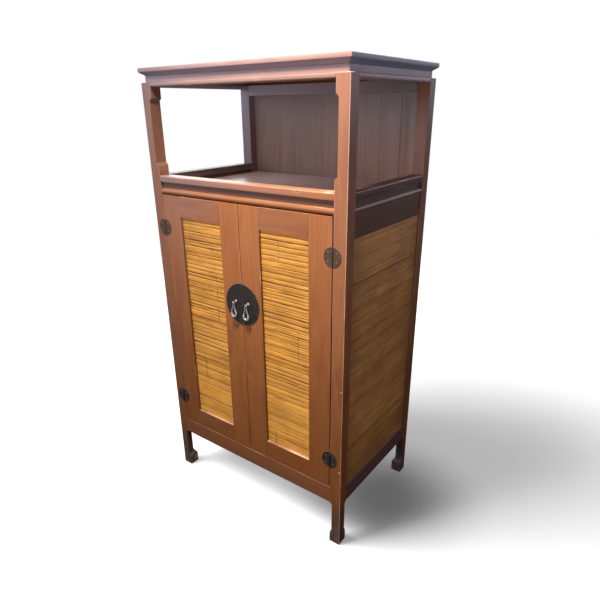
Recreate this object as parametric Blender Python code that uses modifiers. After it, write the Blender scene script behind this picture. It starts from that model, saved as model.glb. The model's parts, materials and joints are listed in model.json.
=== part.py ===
"""Tall bamboo TV cabinet: open niche above, two-door cupboard with bamboo panels below.

Metres, +Z up. The doors face -Y, and the origin is on the floor under the middle of the cabinet.
"""

import math

import bmesh
import bpy
from mathutils import Matrix, Vector

# Overall size, across the outer faces of the posts
HEIGHT = 1.600
WIDTH = 0.820
DEPTH = 0.534
POST = 0.044
FIT = 0.0003          # gap left between pieces that touch
EDGE = 0.0012         # chamfer on the arrises of plain boards

# Top: cornice frame, frieze and top rails
CORNICE_T = 0.025
CORNICE_OUT = 0.005   # overhang past the posts
CORNICE_BAND = 0.011  # upright part of the cornice edge
CORNICE_ROUND = 0.0022
CORNICE_FRAME = 0.070
TOP_PANEL_T = 0.013
TOP_TONGUE_T = 0.008
FRIEZE_H = 0.0195
FRIEZE_IN = 0.011     # set back from the posts
FRIEZE_T = 0.014
TOP_RAIL_H = 0.014
BACK_TOP_RAIL_H = 0.038
RAIL_ROUND = 0.004

# Niche, and its floor: shelf rails over a set-back waist and a rounded bead
NICHE_H = 0.2855      # between the shelf rails and the top rails
SHELF_RAIL_H = 0.023
WAIST_H = 0.021
WAIST_STEP = 0.002    # the waist's face behind the round of the bead
BEAD_H = 0.0185
BEAD_NOSE = 0.006
SHELF_T = 0.007
SHELF_TONGUE_T = 0.0045
TONGUE = 0.008        # depth of a panel's edge in its groove

# Front posts are thinned between blocks in the niche
NICHE_STEP = 0.010
NICHE_BLOCK = 0.033
NICHE_OGEE = 0.010

# Legs and hoof feet
LEG_H = 0.178
LEG_INSET = 0.0105
LEG_COVE = 0.0125
LEG_CHAMFER = 0.010
HOOF_INSET = 0.003
HOOF_H = 0.040
HOOF_FLARE = 0.020
BOTTOM_RAIL_H = 0.066
FLOOR_T = 0.008

# Sides and back
SIDE_BOARD_H = 0.072
SIDE_BOARD_IN = 0.004
SIDE_BOARD_T = 0.018
SIDE_PANEL_IN = 0.008
SIDE_PANEL_T = 0.010
BACK_T = 0.009
BACK_IN = 0.002
BACK_MARGIN = 0.004   # back boards stop short of the post tops and of the bottom rail's underside
BACK_BOARD_W = 0.105
BACK_JOINT = 0.002    # width and depth of the groove between back boards

# Doors
DOOR_T = 0.022
DOOR_GAP = 0.003
STILE_W = 0.085
DOOR_RAIL_H = 0.072
DOOR_PANEL_IN = 0.010
DOOR_PANEL_T = 0.009
STRIP_PITCH = 0.010   # one ridge of the bamboo panels
STRIP_SIDE = 0.0022   # width of a ridge's sloping side
STRIP_DEPTH = 0.002

# Ironwork
PLATE_T = 0.002
LOCK_R = 0.075
LOCK_DROP = 0.3425    # from the top of the doors to the middle of the lock plate
HINGE_R = 0.030
HINGE_INSET = 0.116   # from a door's end to the middle of its hinge
PIN_R = 0.0015
BARREL_WALL = 0.0012
BARREL_L = 0.044
BARREL_CLEAR = 0.0005  # from a barrel to the straight edges of the plates beside it
PULL_X = 0.028        # from the meeting line of the doors
PULL_RISE = 0.0075    # eye above the middle of the lock plate
STAPLE_L = 0.014      # from the plate to the middle of the eye
STAPLE_R = 0.0022
EYE_WIRE = 0.0012     # half thickness of the eye's ring
EYE_CLEAR = 0.0008    # play of the pull in the eye
PULL_DROP = 0.0525    # from the eye to the middle line of the pull's lowest point
PULL_W = 0.0205       # across the middle line of the pull's legs
PULL_NECK_L = 0.012
PULL_WIRE = 0.0014    # half thickness of the pull at the eye
PULL_WEIGHT = 0.0028  # half thickness of the pull's heavy lower end

# Sides of the round pieces
ROUND_SIDES = 16
HINGE_SIDES = 32
LOCK_SIDES = 56
EYE_SIDES = 8
SMOOTH_ANGLE = math.radians(35)
WELD = 0.00001        # points of a cap this close to its wall are one point

# Faces and levels that follow from the sizes above
HALF_W = WIDTH / 2
HALF_D = DEPTH / 2
IN_X = HALF_W - POST
IN_Y = HALF_D - POST
CORNICE_Z = HEIGHT - CORNICE_T
POST_TOP = CORNICE_Z - FRIEZE_H
TOP_RAIL_Z = POST_TOP - TOP_RAIL_H
SHELF_TOP = TOP_RAIL_Z - NICHE_H
SHELF_RAIL_Z = SHELF_TOP - SHELF_RAIL_H
WAIST_Z = SHELF_RAIL_Z - WAIST_H
BEAD_Z = WAIST_Z - BEAD_H
BOTTOM_RAIL_Z = LEG_H + BOTTOM_RAIL_H
SIDE_BOARD_Z = BEAD_Z - SIDE_BOARD_H
BACK_Y = HALF_D - BACK_IN - BACK_T
BACK_RAIL_Y = BACK_Y - FIT
DOOR_Z = BOTTOM_RAIL_Z + DOOR_GAP
DOOR_TOP = BEAD_Z - DOOR_GAP
DOOR_IN = DOOR_GAP / 2
DOOR_OUT = IN_X - DOOR_GAP
BORE_R = PIN_R + FIT
BARREL_R = BORE_R + BARREL_WALL
AXIS_X = IN_X - DOOR_GAP / 2
AXIS_Y = -(HALF_D + FIT + BARREL_R)
PLATE_Y = -(HALF_D + FIT)
EYE_R = PULL_WIRE + EYE_CLEAR + EYE_WIRE
NECK_R = EYE_WIRE + EYE_CLEAR + PULL_WIRE
LOCK_Z = DOOR_TOP - LOCK_DROP
EYE_Y = PLATE_Y - PLATE_T - FIT - STAPLE_L
EYE_Z = LOCK_Z + PULL_RISE

FRONT, RIGHT, BACK, LEFT = range(4)
QUARTER = math.pi / 2


def clear_scene():
    for old in list(bpy.data.objects):
        bpy.data.objects.remove(old, do_unlink=True)


def new_collection(name):
    group = bpy.data.collections.new(name)
    bpy.context.scene.collection.children.link(group)
    return group


clear_scene()
parts = new_collection("bamboo_tv_cabinet")
cutters = new_collection("cabinet_cutters")


def finish(name, colour, roughness, metallic=0.0):
    paint = bpy.data.materials.new(name)
    paint.use_nodes = True
    shader = paint.node_tree.nodes["Principled BSDF"]
    shader.inputs["Base Color"].default_value = (*colour, 1.0)
    shader.inputs["Roughness"].default_value = roughness
    shader.inputs["Metallic"].default_value = metallic
    paint.diffuse_color = (*colour, 1.0)
    return paint


WOOD = finish("red_brown_wood", (0.30, 0.115, 0.045), 0.38)
INNER_WOOD = finish("inside_wood", (0.24, 0.105, 0.05), 0.5)
BAMBOO = finish("split_bamboo", (0.56, 0.31, 0.07), 0.42)
IRON = finish("black_iron", (0.03, 0.028, 0.026), 0.45, 0.8)
WORN_IRON = finish("worn_iron", (0.35, 0.34, 0.33), 0.3, 1.0)


def keep(obj, name, paint):
    """Name an object as a part, move it to the parts' collection and give it its finish."""
    obj.name = name
    obj.data.name = name
    for group in list(obj.users_collection):
        group.objects.unlink(obj)
    parts.objects.link(obj)
    obj.data.materials.clear()
    obj.data.materials.append(paint)
    if obj.type == "MESH":
        obj.data.shade_smooth()
        obj.data.set_sharp_from_angle(angle=SMOOTH_ANGLE)
    return obj


def as_cutter(obj):
    for group in list(obj.users_collection):
        group.objects.unlink(obj)
    cutters.objects.link(obj)
    obj.hide_render = True
    obj.display_type = "WIRE"
    return obj


def block(low, high):
    """A box between two corners, with its scale applied."""
    low, high = Vector(low), Vector(high)
    bpy.ops.mesh.primitive_cube_add(size=1.0, location=(low + high) / 2)
    obj = bpy.context.object
    obj.scale = high - low
    bpy.ops.object.transform_apply(location=False, rotation=False, scale=True)
    return obj


def rod(radius, length, centre, turn=(0.0, 0.0, 0.0), sides=ROUND_SIDES):
    bpy.ops.mesh.primitive_cylinder_add(
        vertices=sides, radius=radius, depth=length, location=centre, rotation=turn
    )
    return bpy.context.object


def chamfer(obj, width, segments=1):
    bevel = obj.modifiers.new("arris", "BEVEL")
    bevel.width = width
    bevel.segments = segments
    bevel.limit_method = "ANGLE"
    return obj


def board(name, low, high, paint=None, edge=EDGE, segments=1):
    return keep(chamfer(block(low, high), edge, segments), name, paint or WOOD)


def combine(obj, other, operation):
    step = obj.modifiers.new(operation.lower(), "BOOLEAN")
    step.operation = operation
    step.object = as_cutter(other)
    return obj


def applied(obj):
    """The object's evaluated mesh as its own mesh, with the shapes that made it removed."""
    helpers = [step.object for step in obj.modifiers if step.type == "BOOLEAN"]
    bpy.context.view_layer.update()
    graph = bpy.context.evaluated_depsgraph_get()
    mesh = bpy.data.meshes.new_from_object(obj.evaluated_get(graph))
    obj.modifiers.clear()
    obj.data = mesh
    for helper in helpers:
        bpy.data.objects.remove(helper, do_unlink=True)
    return obj


def extrusion(outline, length):
    """A closed outline in the XY plane, drawn out along Z by length about its middle."""
    curve = bpy.data.curves.new("outline", "CURVE")
    curve.dimensions = "2D"
    curve.fill_mode = "BOTH"
    curve.extrude = length / 2
    spline = curve.splines.new("POLY")
    spline.points.add(len(outline) - 1)
    for point, (u, v) in zip(spline.points, outline):
        point.co = (u, v, 0.0, 1.0)
    spline.use_cyclic_u = True
    drawn = bpy.data.objects.new("outline", curve)
    bpy.context.scene.collection.objects.link(drawn)
    graph = bpy.context.evaluated_depsgraph_get()
    mesh = bpy.data.meshes.new_from_object(drawn.evaluated_get(graph))
    bpy.data.objects.remove(drawn, do_unlink=True)
    shape = bmesh.new()
    shape.from_mesh(mesh)
    bmesh.ops.remove_doubles(shape, verts=shape.verts, dist=WELD)
    bmesh.ops.recalc_face_normals(shape, faces=shape.faces)
    shape.to_mesh(mesh)
    shape.free()
    obj = bpy.data.objects.new("extrusion", mesh)
    bpy.context.scene.collection.objects.link(obj)
    return obj


def arc(centre, across, up, start, end, steps):
    """Points on an ellipse about centre, from angle start to end in degrees."""
    points = []
    for i in range(steps + 1):
        angle = math.radians(start + (end - start) * i / steps)
        points.append((centre[0] + across * math.cos(angle), centre[1] + up * math.sin(angle)))
    return points


def ease(start, end, steps):
    """Points on an S curve whose ends run along the second axis."""
    points = []
    for i in range(steps + 1):
        t = i / steps
        s = t * t * (3 - 2 * t)
        points.append((start[0] + (end[0] - start[0]) * s, start[1] + (end[1] - start[1]) * t))
    return points


def member(outline, length, side, outer, z, offset=0.0):
    """A moulding along one side of the cabinet: u runs in from its outer face, v runs up from z."""
    obj = extrusion(outline, length)
    turn = Matrix.Rotation(QUARTER * side, 4, "Z")
    obj.location = turn @ Vector((offset, -outer, z))
    obj.rotation_euler = (QUARTER, 0.0, QUARTER * (side + 1))
    return obj


def side_name(side):
    return ("front", "right", "back", "left")[side]


def half_run(side):
    """Half the clear length between the posts on a side."""
    return IN_X if side in (FRONT, BACK) else IN_Y


def half_reach(side):
    """From the middle of the cabinet to the outer face of the posts on a side."""
    return HALF_D if side in (FRONT, BACK) else HALF_W


def rail(name, side, outer_in, thickness, low_z, high_z, edge=EDGE, segments=1, paint=None):
    """A plain rail between two posts, set in from their outer face by outer_in."""
    run = half_run(side) - FIT
    outer = half_reach(side) - outer_in
    inner = outer - thickness
    low, high = (-run, -outer, low_z), (run, -inner, high_z)
    if side == RIGHT:
        low, high = (inner, -run, low_z), (outer, run, high_z)
    if side == BACK:
        low, high = (-run, inner, low_z), (run, outer, high_z)
    if side == LEFT:
        low, high = (-outer, -run, low_z), (-inner, run, high_z)
    return board(name, low, high, paint, edge, segments)


# Posts


def niche_cut():
    """What is taken off a front post's inner face in the niche."""
    low = SHELF_TOP + NICHE_BLOCK
    high = TOP_RAIL_Z - NICHE_BLOCK
    outline = [(-POST, low)]
    outline += ease((0.0, low), (NICHE_STEP, low + NICHE_OGEE), 6)
    outline += ease((NICHE_STEP, high - NICHE_OGEE), (0.0, high), 6)
    outline.append((-POST, high))
    return outline


def leg_cut(inset, hoof):
    """What is taken off a post below the bottom rail: a cove, a straight leg and a flare to the hoof."""
    flare_top = HOOF_H + HOOF_FLARE
    outline = [(-POST, LEG_H)]
    outline += arc((0.0, LEG_H - LEG_COVE), inset, LEG_COVE, 90, 0, 5)
    outline += ease((inset, flare_top), (hoof, HOOF_H), 5)
    outline += [(hoof, -POST), (-POST, -POST)]
    return outline


def cut_post(post, outline, origin, turn):
    cutter = extrusion(outline, 4 * POST)
    cutter.location = origin
    cutter.rotation_euler = (QUARTER, 0.0, turn)
    combine(post, cutter, "DIFFERENCE")


def make_post(name, right, back):
    """right and back are -1 or 1. The inner faces carry the cuts."""
    low = (min(right * IN_X, right * HALF_W), min(back * IN_Y, back * HALF_D), 0.0)
    high = (low[0] + POST, low[1] + POST, POST_TOP)
    post = chamfer(block(low, high), EDGE)
    middle_x = right * (HALF_W - POST / 2)
    middle_y = back * (HALF_D - POST / 2)
    toward_x = 0.0 if right > 0 else math.pi
    toward_y = QUARTER * back
    toward_corner = math.atan2(back, right)
    cut_post(post, leg_cut(LEG_INSET, HOOF_INSET), (right * IN_X, middle_y, 0.0), toward_x)
    cut_post(post, leg_cut(LEG_INSET, HOOF_INSET), (middle_x, back * IN_Y, 0.0), toward_y)
    corner_inset = (2 * LEG_INSET + LEG_CHAMFER) / math.sqrt(2)
    cut_post(post, leg_cut(corner_inset, HOOF_INSET), (right * IN_X, back * IN_Y, 0.0), toward_corner)
    if back < 0:
        cut_post(post, niche_cut(), (right * IN_X, middle_y, 0.0), toward_x)
    return keep(applied(post), name, WOOD)


make_post("post_front_left", -1, -1)
make_post("post_front_right", 1, -1)
make_post("post_back_left", -1, 1)
make_post("post_back_right", 1, 1)


# Top rails, frieze boards and cornice


def make_top_rails():
    for side in (FRONT, RIGHT, LEFT):
        rail(f"top_rail_{side_name(side)}", side, 0.0, POST, TOP_RAIL_Z, POST_TOP, RAIL_ROUND, 3)
    depth = BACK_RAIL_Y - IN_Y
    rail("top_rail_back", BACK, HALF_D - BACK_RAIL_Y, depth, POST_TOP - BACK_TOP_RAIL_H, POST_TOP)


def make_frieze():
    low_z = POST_TOP + FIT
    high_z = CORNICE_Z - FIT
    reach_x = HALF_W - FRIEZE_IN
    reach_y = HALF_D - FRIEZE_IN
    side_y = reach_y - FRIEZE_T - FIT
    board("frieze_front", (-reach_x, -reach_y, low_z), (reach_x, -reach_y + FRIEZE_T, high_z))
    board("frieze_back", (-reach_x, reach_y - FRIEZE_T, low_z), (reach_x, reach_y, high_z))
    board("frieze_right", (reach_x - FRIEZE_T, -side_y, low_z), (reach_x, side_y, high_z))
    board("frieze_left", (-reach_x, -side_y, low_z), (-reach_x + FRIEZE_T, side_y, high_z))


def cornice_outline():
    """Upright band with a rounded top edge, an S curve in to the frieze, and a groove for the panel."""
    under = CORNICE_OUT + FRIEZE_IN
    band_z = CORNICE_T - CORNICE_BAND
    round_z = CORNICE_T - CORNICE_ROUND
    groove_low = CORNICE_T - TOP_PANEL_T
    groove_high = groove_low + TOP_TONGUE_T + 2 * FIT
    outline = ease((under, 0.0), (0.0, band_z), 6)
    outline += arc((CORNICE_ROUND, round_z), CORNICE_ROUND, CORNICE_ROUND, 180, 90, 3)
    outline.append((CORNICE_FRAME, CORNICE_T))
    outline.append((CORNICE_FRAME, groove_high))
    outline.append((CORNICE_FRAME - TONGUE, groove_high))
    outline.append((CORNICE_FRAME - TONGUE, groove_low))
    outline.append((CORNICE_FRAME, groove_low))
    outline.append((CORNICE_FRAME, 0.0))
    return outline


def make_cornice():
    for side in range(4):
        reach = half_reach(side) + CORNICE_OUT
        length = 2 * (half_reach(side + 1 if side < 3 else 0) + CORNICE_OUT)
        frame = member(cornice_outline(), length - 2 * FIT, side, reach, CORNICE_Z)
        for point in frame.data.vertices:
            point.co.z -= math.copysign(point.co.x, point.co.z)
        keep(frame, f"cornice_{side_name(side)}", WOOD)


def make_top_panel():
    """A flush field with a tongue all round, in the grooves of the cornice frame."""
    field_x = HALF_W + CORNICE_OUT - CORNICE_FRAME - FIT
    field_y = HALF_D + CORNICE_OUT - CORNICE_FRAME - FIT
    low_z = HEIGHT - TOP_PANEL_T + FIT
    tongue = TONGUE - FIT
    field = block((-field_x, -field_y, low_z), (field_x, field_y, HEIGHT))
    edge_low = (-field_x - tongue, -field_y - tongue, low_z)
    edge_high = (field_x + tongue, field_y + tongue, low_z + TOP_TONGUE_T)
    combine(field, block(edge_low, edge_high), "UNION")
    keep(applied(field), "top_panel", WOOD)


make_top_rails()
make_frieze()
make_cornice()
make_top_panel()


# Niche floor


def plus_outline(wide_x, narrow_x, front, narrow_y, back):
    """A panel that runs past the posts on four sides and is notched round them."""
    right = [(narrow_x, -front), (narrow_x, -narrow_y), (wide_x, -narrow_y)]
    right += [(wide_x, narrow_y), (narrow_x, narrow_y), (narrow_x, back)]
    return right + [(-x, y) for x, y in reversed(right)]


def groove_points(inner):
    """The groove for the shelf board's tongue in a rail's inner face, from above it to below it."""
    low = BEAD_H
    high = BEAD_H + SHELF_TONGUE_T + 2 * FIT
    return [(inner, high), (inner - TONGUE, high), (inner - TONGUE, low), (inner, low)]


def apron_outline():
    """Rounded bead, set-back waist above it, and the shelf board's groove inside."""
    top = BEAD_H + WAIST_H - FIT
    waist = BEAD_NOSE + WAIST_STEP
    outline = arc((BEAD_NOSE, BEAD_H / 2), BEAD_NOSE, BEAD_H / 2, 270, 90, 10)
    outline += [(waist, BEAD_H), (waist, top), (POST, top)]
    outline += groove_points(POST)
    outline.append((POST, 0.0))
    return outline


def make_shelf():
    for side in (FRONT, RIGHT, LEFT):
        name = side_name(side)
        rail(f"shelf_rail_{name}", side, 0.0, POST, SHELF_RAIL_Z, SHELF_TOP, RAIL_ROUND, 3)
        apron = member(apron_outline(), 2 * (half_run(side) - FIT), side, half_reach(side), BEAD_Z)
        keep(apron, f"shelf_apron_{name}", WOOD)
    depth = BACK_RAIL_Y - IN_Y
    top = BEAD_H + FIT + SHELF_T  # level with the shelf board
    outline = [(0.0, 0.0), (0.0, top), (depth, top)] + groove_points(depth) + [(depth, 0.0)]
    keep(member(outline, 2 * (IN_X - FIT), BACK, BACK_RAIL_Y, BEAD_Z), "shelf_rail_back", WOOD)


def make_shelf_panel():
    """A board whose thinner edge is a tongue in the grooves of the rails round it."""
    field_x = IN_X - FIT
    field_y = IN_Y - FIT
    low_z = WAIST_Z + FIT
    tongue = TONGUE - FIT
    plan = plus_outline(IN_X + tongue, field_x, IN_Y + tongue, field_y, IN_Y + tongue)
    count = len(plan)
    shape = bmesh.new()
    under = [shape.verts.new((x, y, 0.0)) for x, y in plan]
    edge = [shape.verts.new((x, y, SHELF_TONGUE_T)) for x, y in plan]
    inner = edge[1::3]  # the inner corners of the four notches carry the field
    field = [shape.verts.new((corner.co.x, corner.co.y, SHELF_T)) for corner in inner]
    shape.faces.new(under[::-1])
    shape.faces.new(field)
    for i in range(count):
        shape.faces.new((under[i - 1], under[i], edge[i], edge[i - 1]))
    for i in range(len(inner)):
        shape.faces.new((inner[i - 1], inner[i], field[i], field[i - 1]))
        shape.faces.new([edge[(3 * i + 1 + step) % count] for step in range(4)])
    mesh = bpy.data.meshes.new("shelf_panel")
    shape.to_mesh(mesh)
    shape.free()
    panel = bpy.data.objects.new("shelf_panel", mesh)
    panel.location.z = low_z
    bpy.context.scene.collection.objects.link(panel)
    keep(panel, "shelf_panel", WOOD)


make_shelf()
make_shelf_panel()


# Sides, bottom and back


def bamboo_outline(height, thickness):
    """Split bamboo strips side by side: ridges on the face, flat behind."""
    count = max(1, round(height / STRIP_PITCH))
    pitch = height / count
    outline = []
    for i in range(count):
        outline.append((STRIP_DEPTH, i * pitch))
        outline.append((0.0, i * pitch + STRIP_SIDE))
        outline.append((0.0, (i + 1) * pitch - STRIP_SIDE))
    outline +=[(STRIP_DEPTH, height), (thickness, height), (thickness, 0.0)]
    return outline


def make_sides():
    low_z = BOTTOM_RAIL_Z + FIT
    high_z = SIDE_BOARD_Z - FIT
    for side in (RIGHT, LEFT):
        name = side_name(side)
        top_z = BEAD_Z - FIT
        rail(f"side_board_{name}", side, SIDE_BOARD_IN, SIDE_BOARD_T, SIDE_BOARD_Z, top_z)
        outline = bamboo_outline(high_z - low_z, SIDE_PANEL_T)
        panel = member(outline, 2 * (IN_Y - FIT), side, HALF_W - SIDE_PANEL_IN, low_z)
        keep(panel, f"side_bamboo_{name}", BAMBOO)


def make_bottom():
    for side in (FRONT, RIGHT, LEFT):
        rail(f"bottom_rail_{side_name(side)}", side, 0.0, POST, LEG_H, BOTTOM_RAIL_Z)
    depth = BACK_RAIL_Y - IN_Y
    rail("bottom_rail_back", BACK, HALF_D - BACK_RAIL_Y, depth, LEG_H, BOTTOM_RAIL_Z)
    wide_x = HALF_W - SIDE_PANEL_IN - SIDE_PANEL_T - FIT
    front = HALF_D - DOOR_T - DOOR_GAP
    plan = plus_outline(wide_x, IN_X - FIT, front, IN_Y - FIT, BACK_Y - FIT)
    floor = extrusion(plan, FLOOR_T)
    floor.location.z = BOTTOM_RAIL_Z + FIT + FLOOR_T / 2
    keep(floor, "cupboard_floor", INNER_WOOD)


def back_outline():
    """Plan of the back: upright boards with a groove at each joint on the inner face."""
    reach = IN_X - FIT
    count = max(1, round(2 * reach / BACK_BOARD_W))
    outline = [(-reach, 0.0)]
    for i in range(1, count):
        joint = -reach + 2 * reach * i / count
        outline.append((joint - BACK_JOINT / 2, 0.0))
        outline.append((joint, BACK_JOINT))
        outline.append((joint + BACK_JOINT / 2, 0.0))
    outline += [(reach, 0.0), (reach, BACK_T), (-reach, BACK_T)]
    return outline


def make_back():
    low_z = LEG_H + BACK_MARGIN
    high_z = POST_TOP - BACK_MARGIN
    back = extrusion(back_outline(), high_z - low_z)
    back.location = (0.0, BACK_Y, (low_z + high_z) / 2)
    keep(back, "back_boards", INNER_WOOD)


make_sides()
make_bottom()
make_back()


# Doors, with every moving piece parented to an empty on its joint's axis


def joint_empty(name, place, parent=None):
    empty = bpy.data.objects.new(name, None)
    empty.empty_display_size = POST
    empty.location = place
    parts.objects.link(empty)
    if parent:
        attach(empty, parent)
    return empty


def attach(obj, empty):
    """Parent obj to empty and leave it where it is."""
    bpy.context.view_layer.update()
    obj.parent = empty
    obj.matrix_parent_inverse = empty.matrix_world.inverted()
    return obj


def door_board(name, right, near, far, low_z, high_z):
    """near and far are distances from the meeting line of the doors."""
    xs = sorted((right * near, right * far))
    return board(name, (xs[0], -HALF_D, low_z), (xs[1], -HALF_D + DOOR_T, high_z))


def make_door(side, right, hinge):
    """right is -1 for the left door and 1 for the right door."""
    rail_in = DOOR_IN + STILE_W + FIT
    rail_out = DOOR_OUT - STILE_W - FIT
    low_rail = DOOR_Z + DOOR_RAIL_H
    high_rail = DOOR_TOP - DOOR_RAIL_H
    pieces = [
        door_board(f"{side}_door_lock_stile", right, DOOR_IN, DOOR_IN + STILE_W, DOOR_Z, DOOR_TOP),
        door_board(f"{side}_door_hinge_stile", right, DOOR_OUT - STILE_W, DOOR_OUT, DOOR_Z, DOOR_TOP),
        door_board(f"{side}_door_bottom_rail", right, rail_in, rail_out, DOOR_Z, low_rail),
        door_board(f"{side}_door_top_rail", right, rail_in, rail_out, high_rail, DOOR_TOP),
    ]
    height = high_rail - low_rail - 2 * FIT
    panel = member(
        bamboo_outline(height, DOOR_PANEL_T),
        rail_out - rail_in,
        FRONT,
        HALF_D - DOOR_PANEL_IN,
        low_rail + FIT,
        right * (rail_in + rail_out) / 2,
    )
    pieces.append(keep(panel, f"{side}_door_bamboo", BAMBOO))
    for piece in pieces:
        attach(piece, hinge)


# Hinges: round plates in two halves, the post half carries the pin


def leaf_mesh(outward, knuckles, pin):
    """A half disc beside a barrel on the origin's Z axis. outward is the side it lies on, -1 or 1."""
    plate_y = PLATE_Y - AXIS_Y - PLATE_T / 2
    edge_x = BARREL_R + BARREL_CLEAR
    leaf = rod(HINGE_R, PLATE_T, (0.0, plate_y, 0.0), (QUARTER, 0.0, 0.0), HINGE_SIDES)
    far = 2 * HINGE_R
    spare_x = sorted((outward * edge_x, -outward * far))
    combine(leaf, block((spare_x[0], -far, -far), (spare_x[1], far, far)), "DIFFERENCE")
    for low, high in knuckles:
        web_x = sorted((0.0, outward * (edge_x + PLATE_T)))
        web_y = (plate_y - PLATE_T / 2, plate_y + PLATE_T / 2)
        combine(leaf, block((web_x[0], web_y[0], low), (web_x[1], web_y[1], high)), "UNION")
        combine(leaf, rod(BARREL_R, high - low, (0.0, 0.0, (low + high) / 2)), "UNION")
    if pin:
        combine(leaf, rod(PIN_R, BARREL_L - PLATE_T, (0.0, 0.0, 0.0)), "UNION")
    else:
        combine(leaf, rod(BORE_R, 2 * BARREL_L, (0.0, 0.0, 0.0)), "DIFFERENCE")
    mesh = applied(leaf).data
    mesh.transform(leaf.matrix_world)
    bpy.data.objects.remove(leaf, do_unlink=True)
    return mesh


def make_hinges(side, right, hinge):
    half_knuckle = BARREL_L / 6
    ends = [(-BARREL_L / 2, -half_knuckle), (half_knuckle, BARREL_L / 2)]
    post_mesh = leaf_mesh(right, ends, True)
    door_mesh = leaf_mesh(-right, [(-half_knuckle + FIT, half_knuckle - FIT)], False)
    for place, z in (("upper", DOOR_TOP - HINGE_INSET), ("lower", DOOR_Z + HINGE_INSET)):
        for half, mesh in (("post", post_mesh), ("door", door_mesh)):
            leaf = bpy.data.objects.new(half, mesh.copy())
            parts.objects.link(leaf)
            leaf.location = (right * AXIS_X, AXIS_Y, z)
            keep(leaf, f"{side}_{place}_hinge_{half}_leaf", IRON)
            if half == "door":
                attach(leaf, hinge)


# Lock plate, staples and pulls


def make_lock_plate(side, right, hinge):
    centre = (0.0, PLATE_Y - PLATE_T / 2, LOCK_Z)
    plate = rod(LOCK_R, PLATE_T, centre, (QUARTER, 0.0, 0.0), LOCK_SIDES)
    spare = sorted((right * DOOR_IN, -right * 2 * LOCK_R))
    low = (spare[0], PLATE_Y - 2 * PLATE_T, LOCK_Z - 2 * LOCK_R)
    high = (spare[1], PLATE_Y + PLATE_T, LOCK_Z + 2 * LOCK_R)
    combine(plate, block(low, high), "DIFFERENCE")
    attach(keep(applied(plate), f"{side}_lock_plate", IRON), hinge)


def make_staple(side, right, hinge):
    """A round shank out of the lock plate, with an eye at its end."""
    start = PLATE_Y - PLATE_T - FIT
    end = EYE_Y + EYE_R
    place = (right * PULL_X, (start + end) / 2, EYE_Z)
    staple = rod(STAPLE_R, start - end, place, (QUARTER, 0.0, 0.0))
    bpy.ops.mesh.primitive_torus_add(
        location=(right * PULL_X, EYE_Y, EYE_Z),
        rotation=(0.0, QUARTER, 0.0),
        major_radius=EYE_R,
        minor_radius=EYE_WIRE,
        major_segments=ROUND_SIDES,
        minor_segments=EYE_SIDES,
    )
    combine(staple, bpy.context.object, "UNION")
    attach(keep(applied(staple), f"{side}_pull_staple", WORN_IRON), hinge)


def pull_path():
    """Half of the pull's middle line, from the eye down to its lowest point, with a half thickness."""
    round_r = PULL_W / 2
    belly_z = round_r - PULL_DROP
    path = [(x, z, PULL_WIRE) for x, z in arc((0.0, -NECK_R), NECK_R, NECK_R, 90, 0, 3)]
    for x, z in ease((NECK_R, -PULL_NECK_L), (round_r, belly_z), 5):
        down = (z + PULL_NECK_L) / (belly_z + PULL_NECK_L)
        path.append((x, z, PULL_WIRE + (PULL_WEIGHT - PULL_WIRE) * down * down))
    belly = arc((0.0, belly_z), round_r, round_r, 0, -90, 4)
    path += [(x, z, PULL_WEIGHT) for x, z in belly[1:]]
    return path


def make_pull(side, right, eye):
    half = pull_path()
    loop = half + [(-x, z, thick) for x, z, thick in reversed(half[1:-1])]
    curve = bpy.data.curves.new("pull", "CURVE")
    curve.dimensions = "3D"
    curve.bevel_depth = 1.0
    curve.bevel_resolution = 2
    spline = curve.splines.new("POLY")
    spline.points.add(len(loop) - 1)
    for point, (x, z, thick) in zip(spline.points, loop):
        point.co = (x, 0.0, z, 1.0)
        point.radius = thick
    spline.use_cyclic_u = True
    pull = bpy.data.objects.new("pull", curve)
    parts.objects.link(pull)
    pull.location = (right * PULL_X, EYE_Y, EYE_Z)
    attach(keep(pull, f"{side}_pull", WORN_IRON), eye)


for side, right in (("left", -1), ("right", 1)):
    hinge_axis = joint_empty(f"{side}_door_axis", (right * AXIS_X, AXIS_Y, DOOR_Z))
    eye_axis = joint_empty(f"{side}_pull_axis", (right * PULL_X, EYE_Y, EYE_Z), hinge_axis)
    make_door(side, right, hinge_axis)
    make_hinges(side, right, hinge_axis)
    make_lock_plate(side, right, hinge_axis)
    make_staple(side, right, hinge_axis)
    make_pull(side, right, eye_axis)
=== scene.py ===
import json
import math
import random

import bpy
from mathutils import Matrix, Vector, noise
from mathutils.bvhtree import BVHTree

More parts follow.
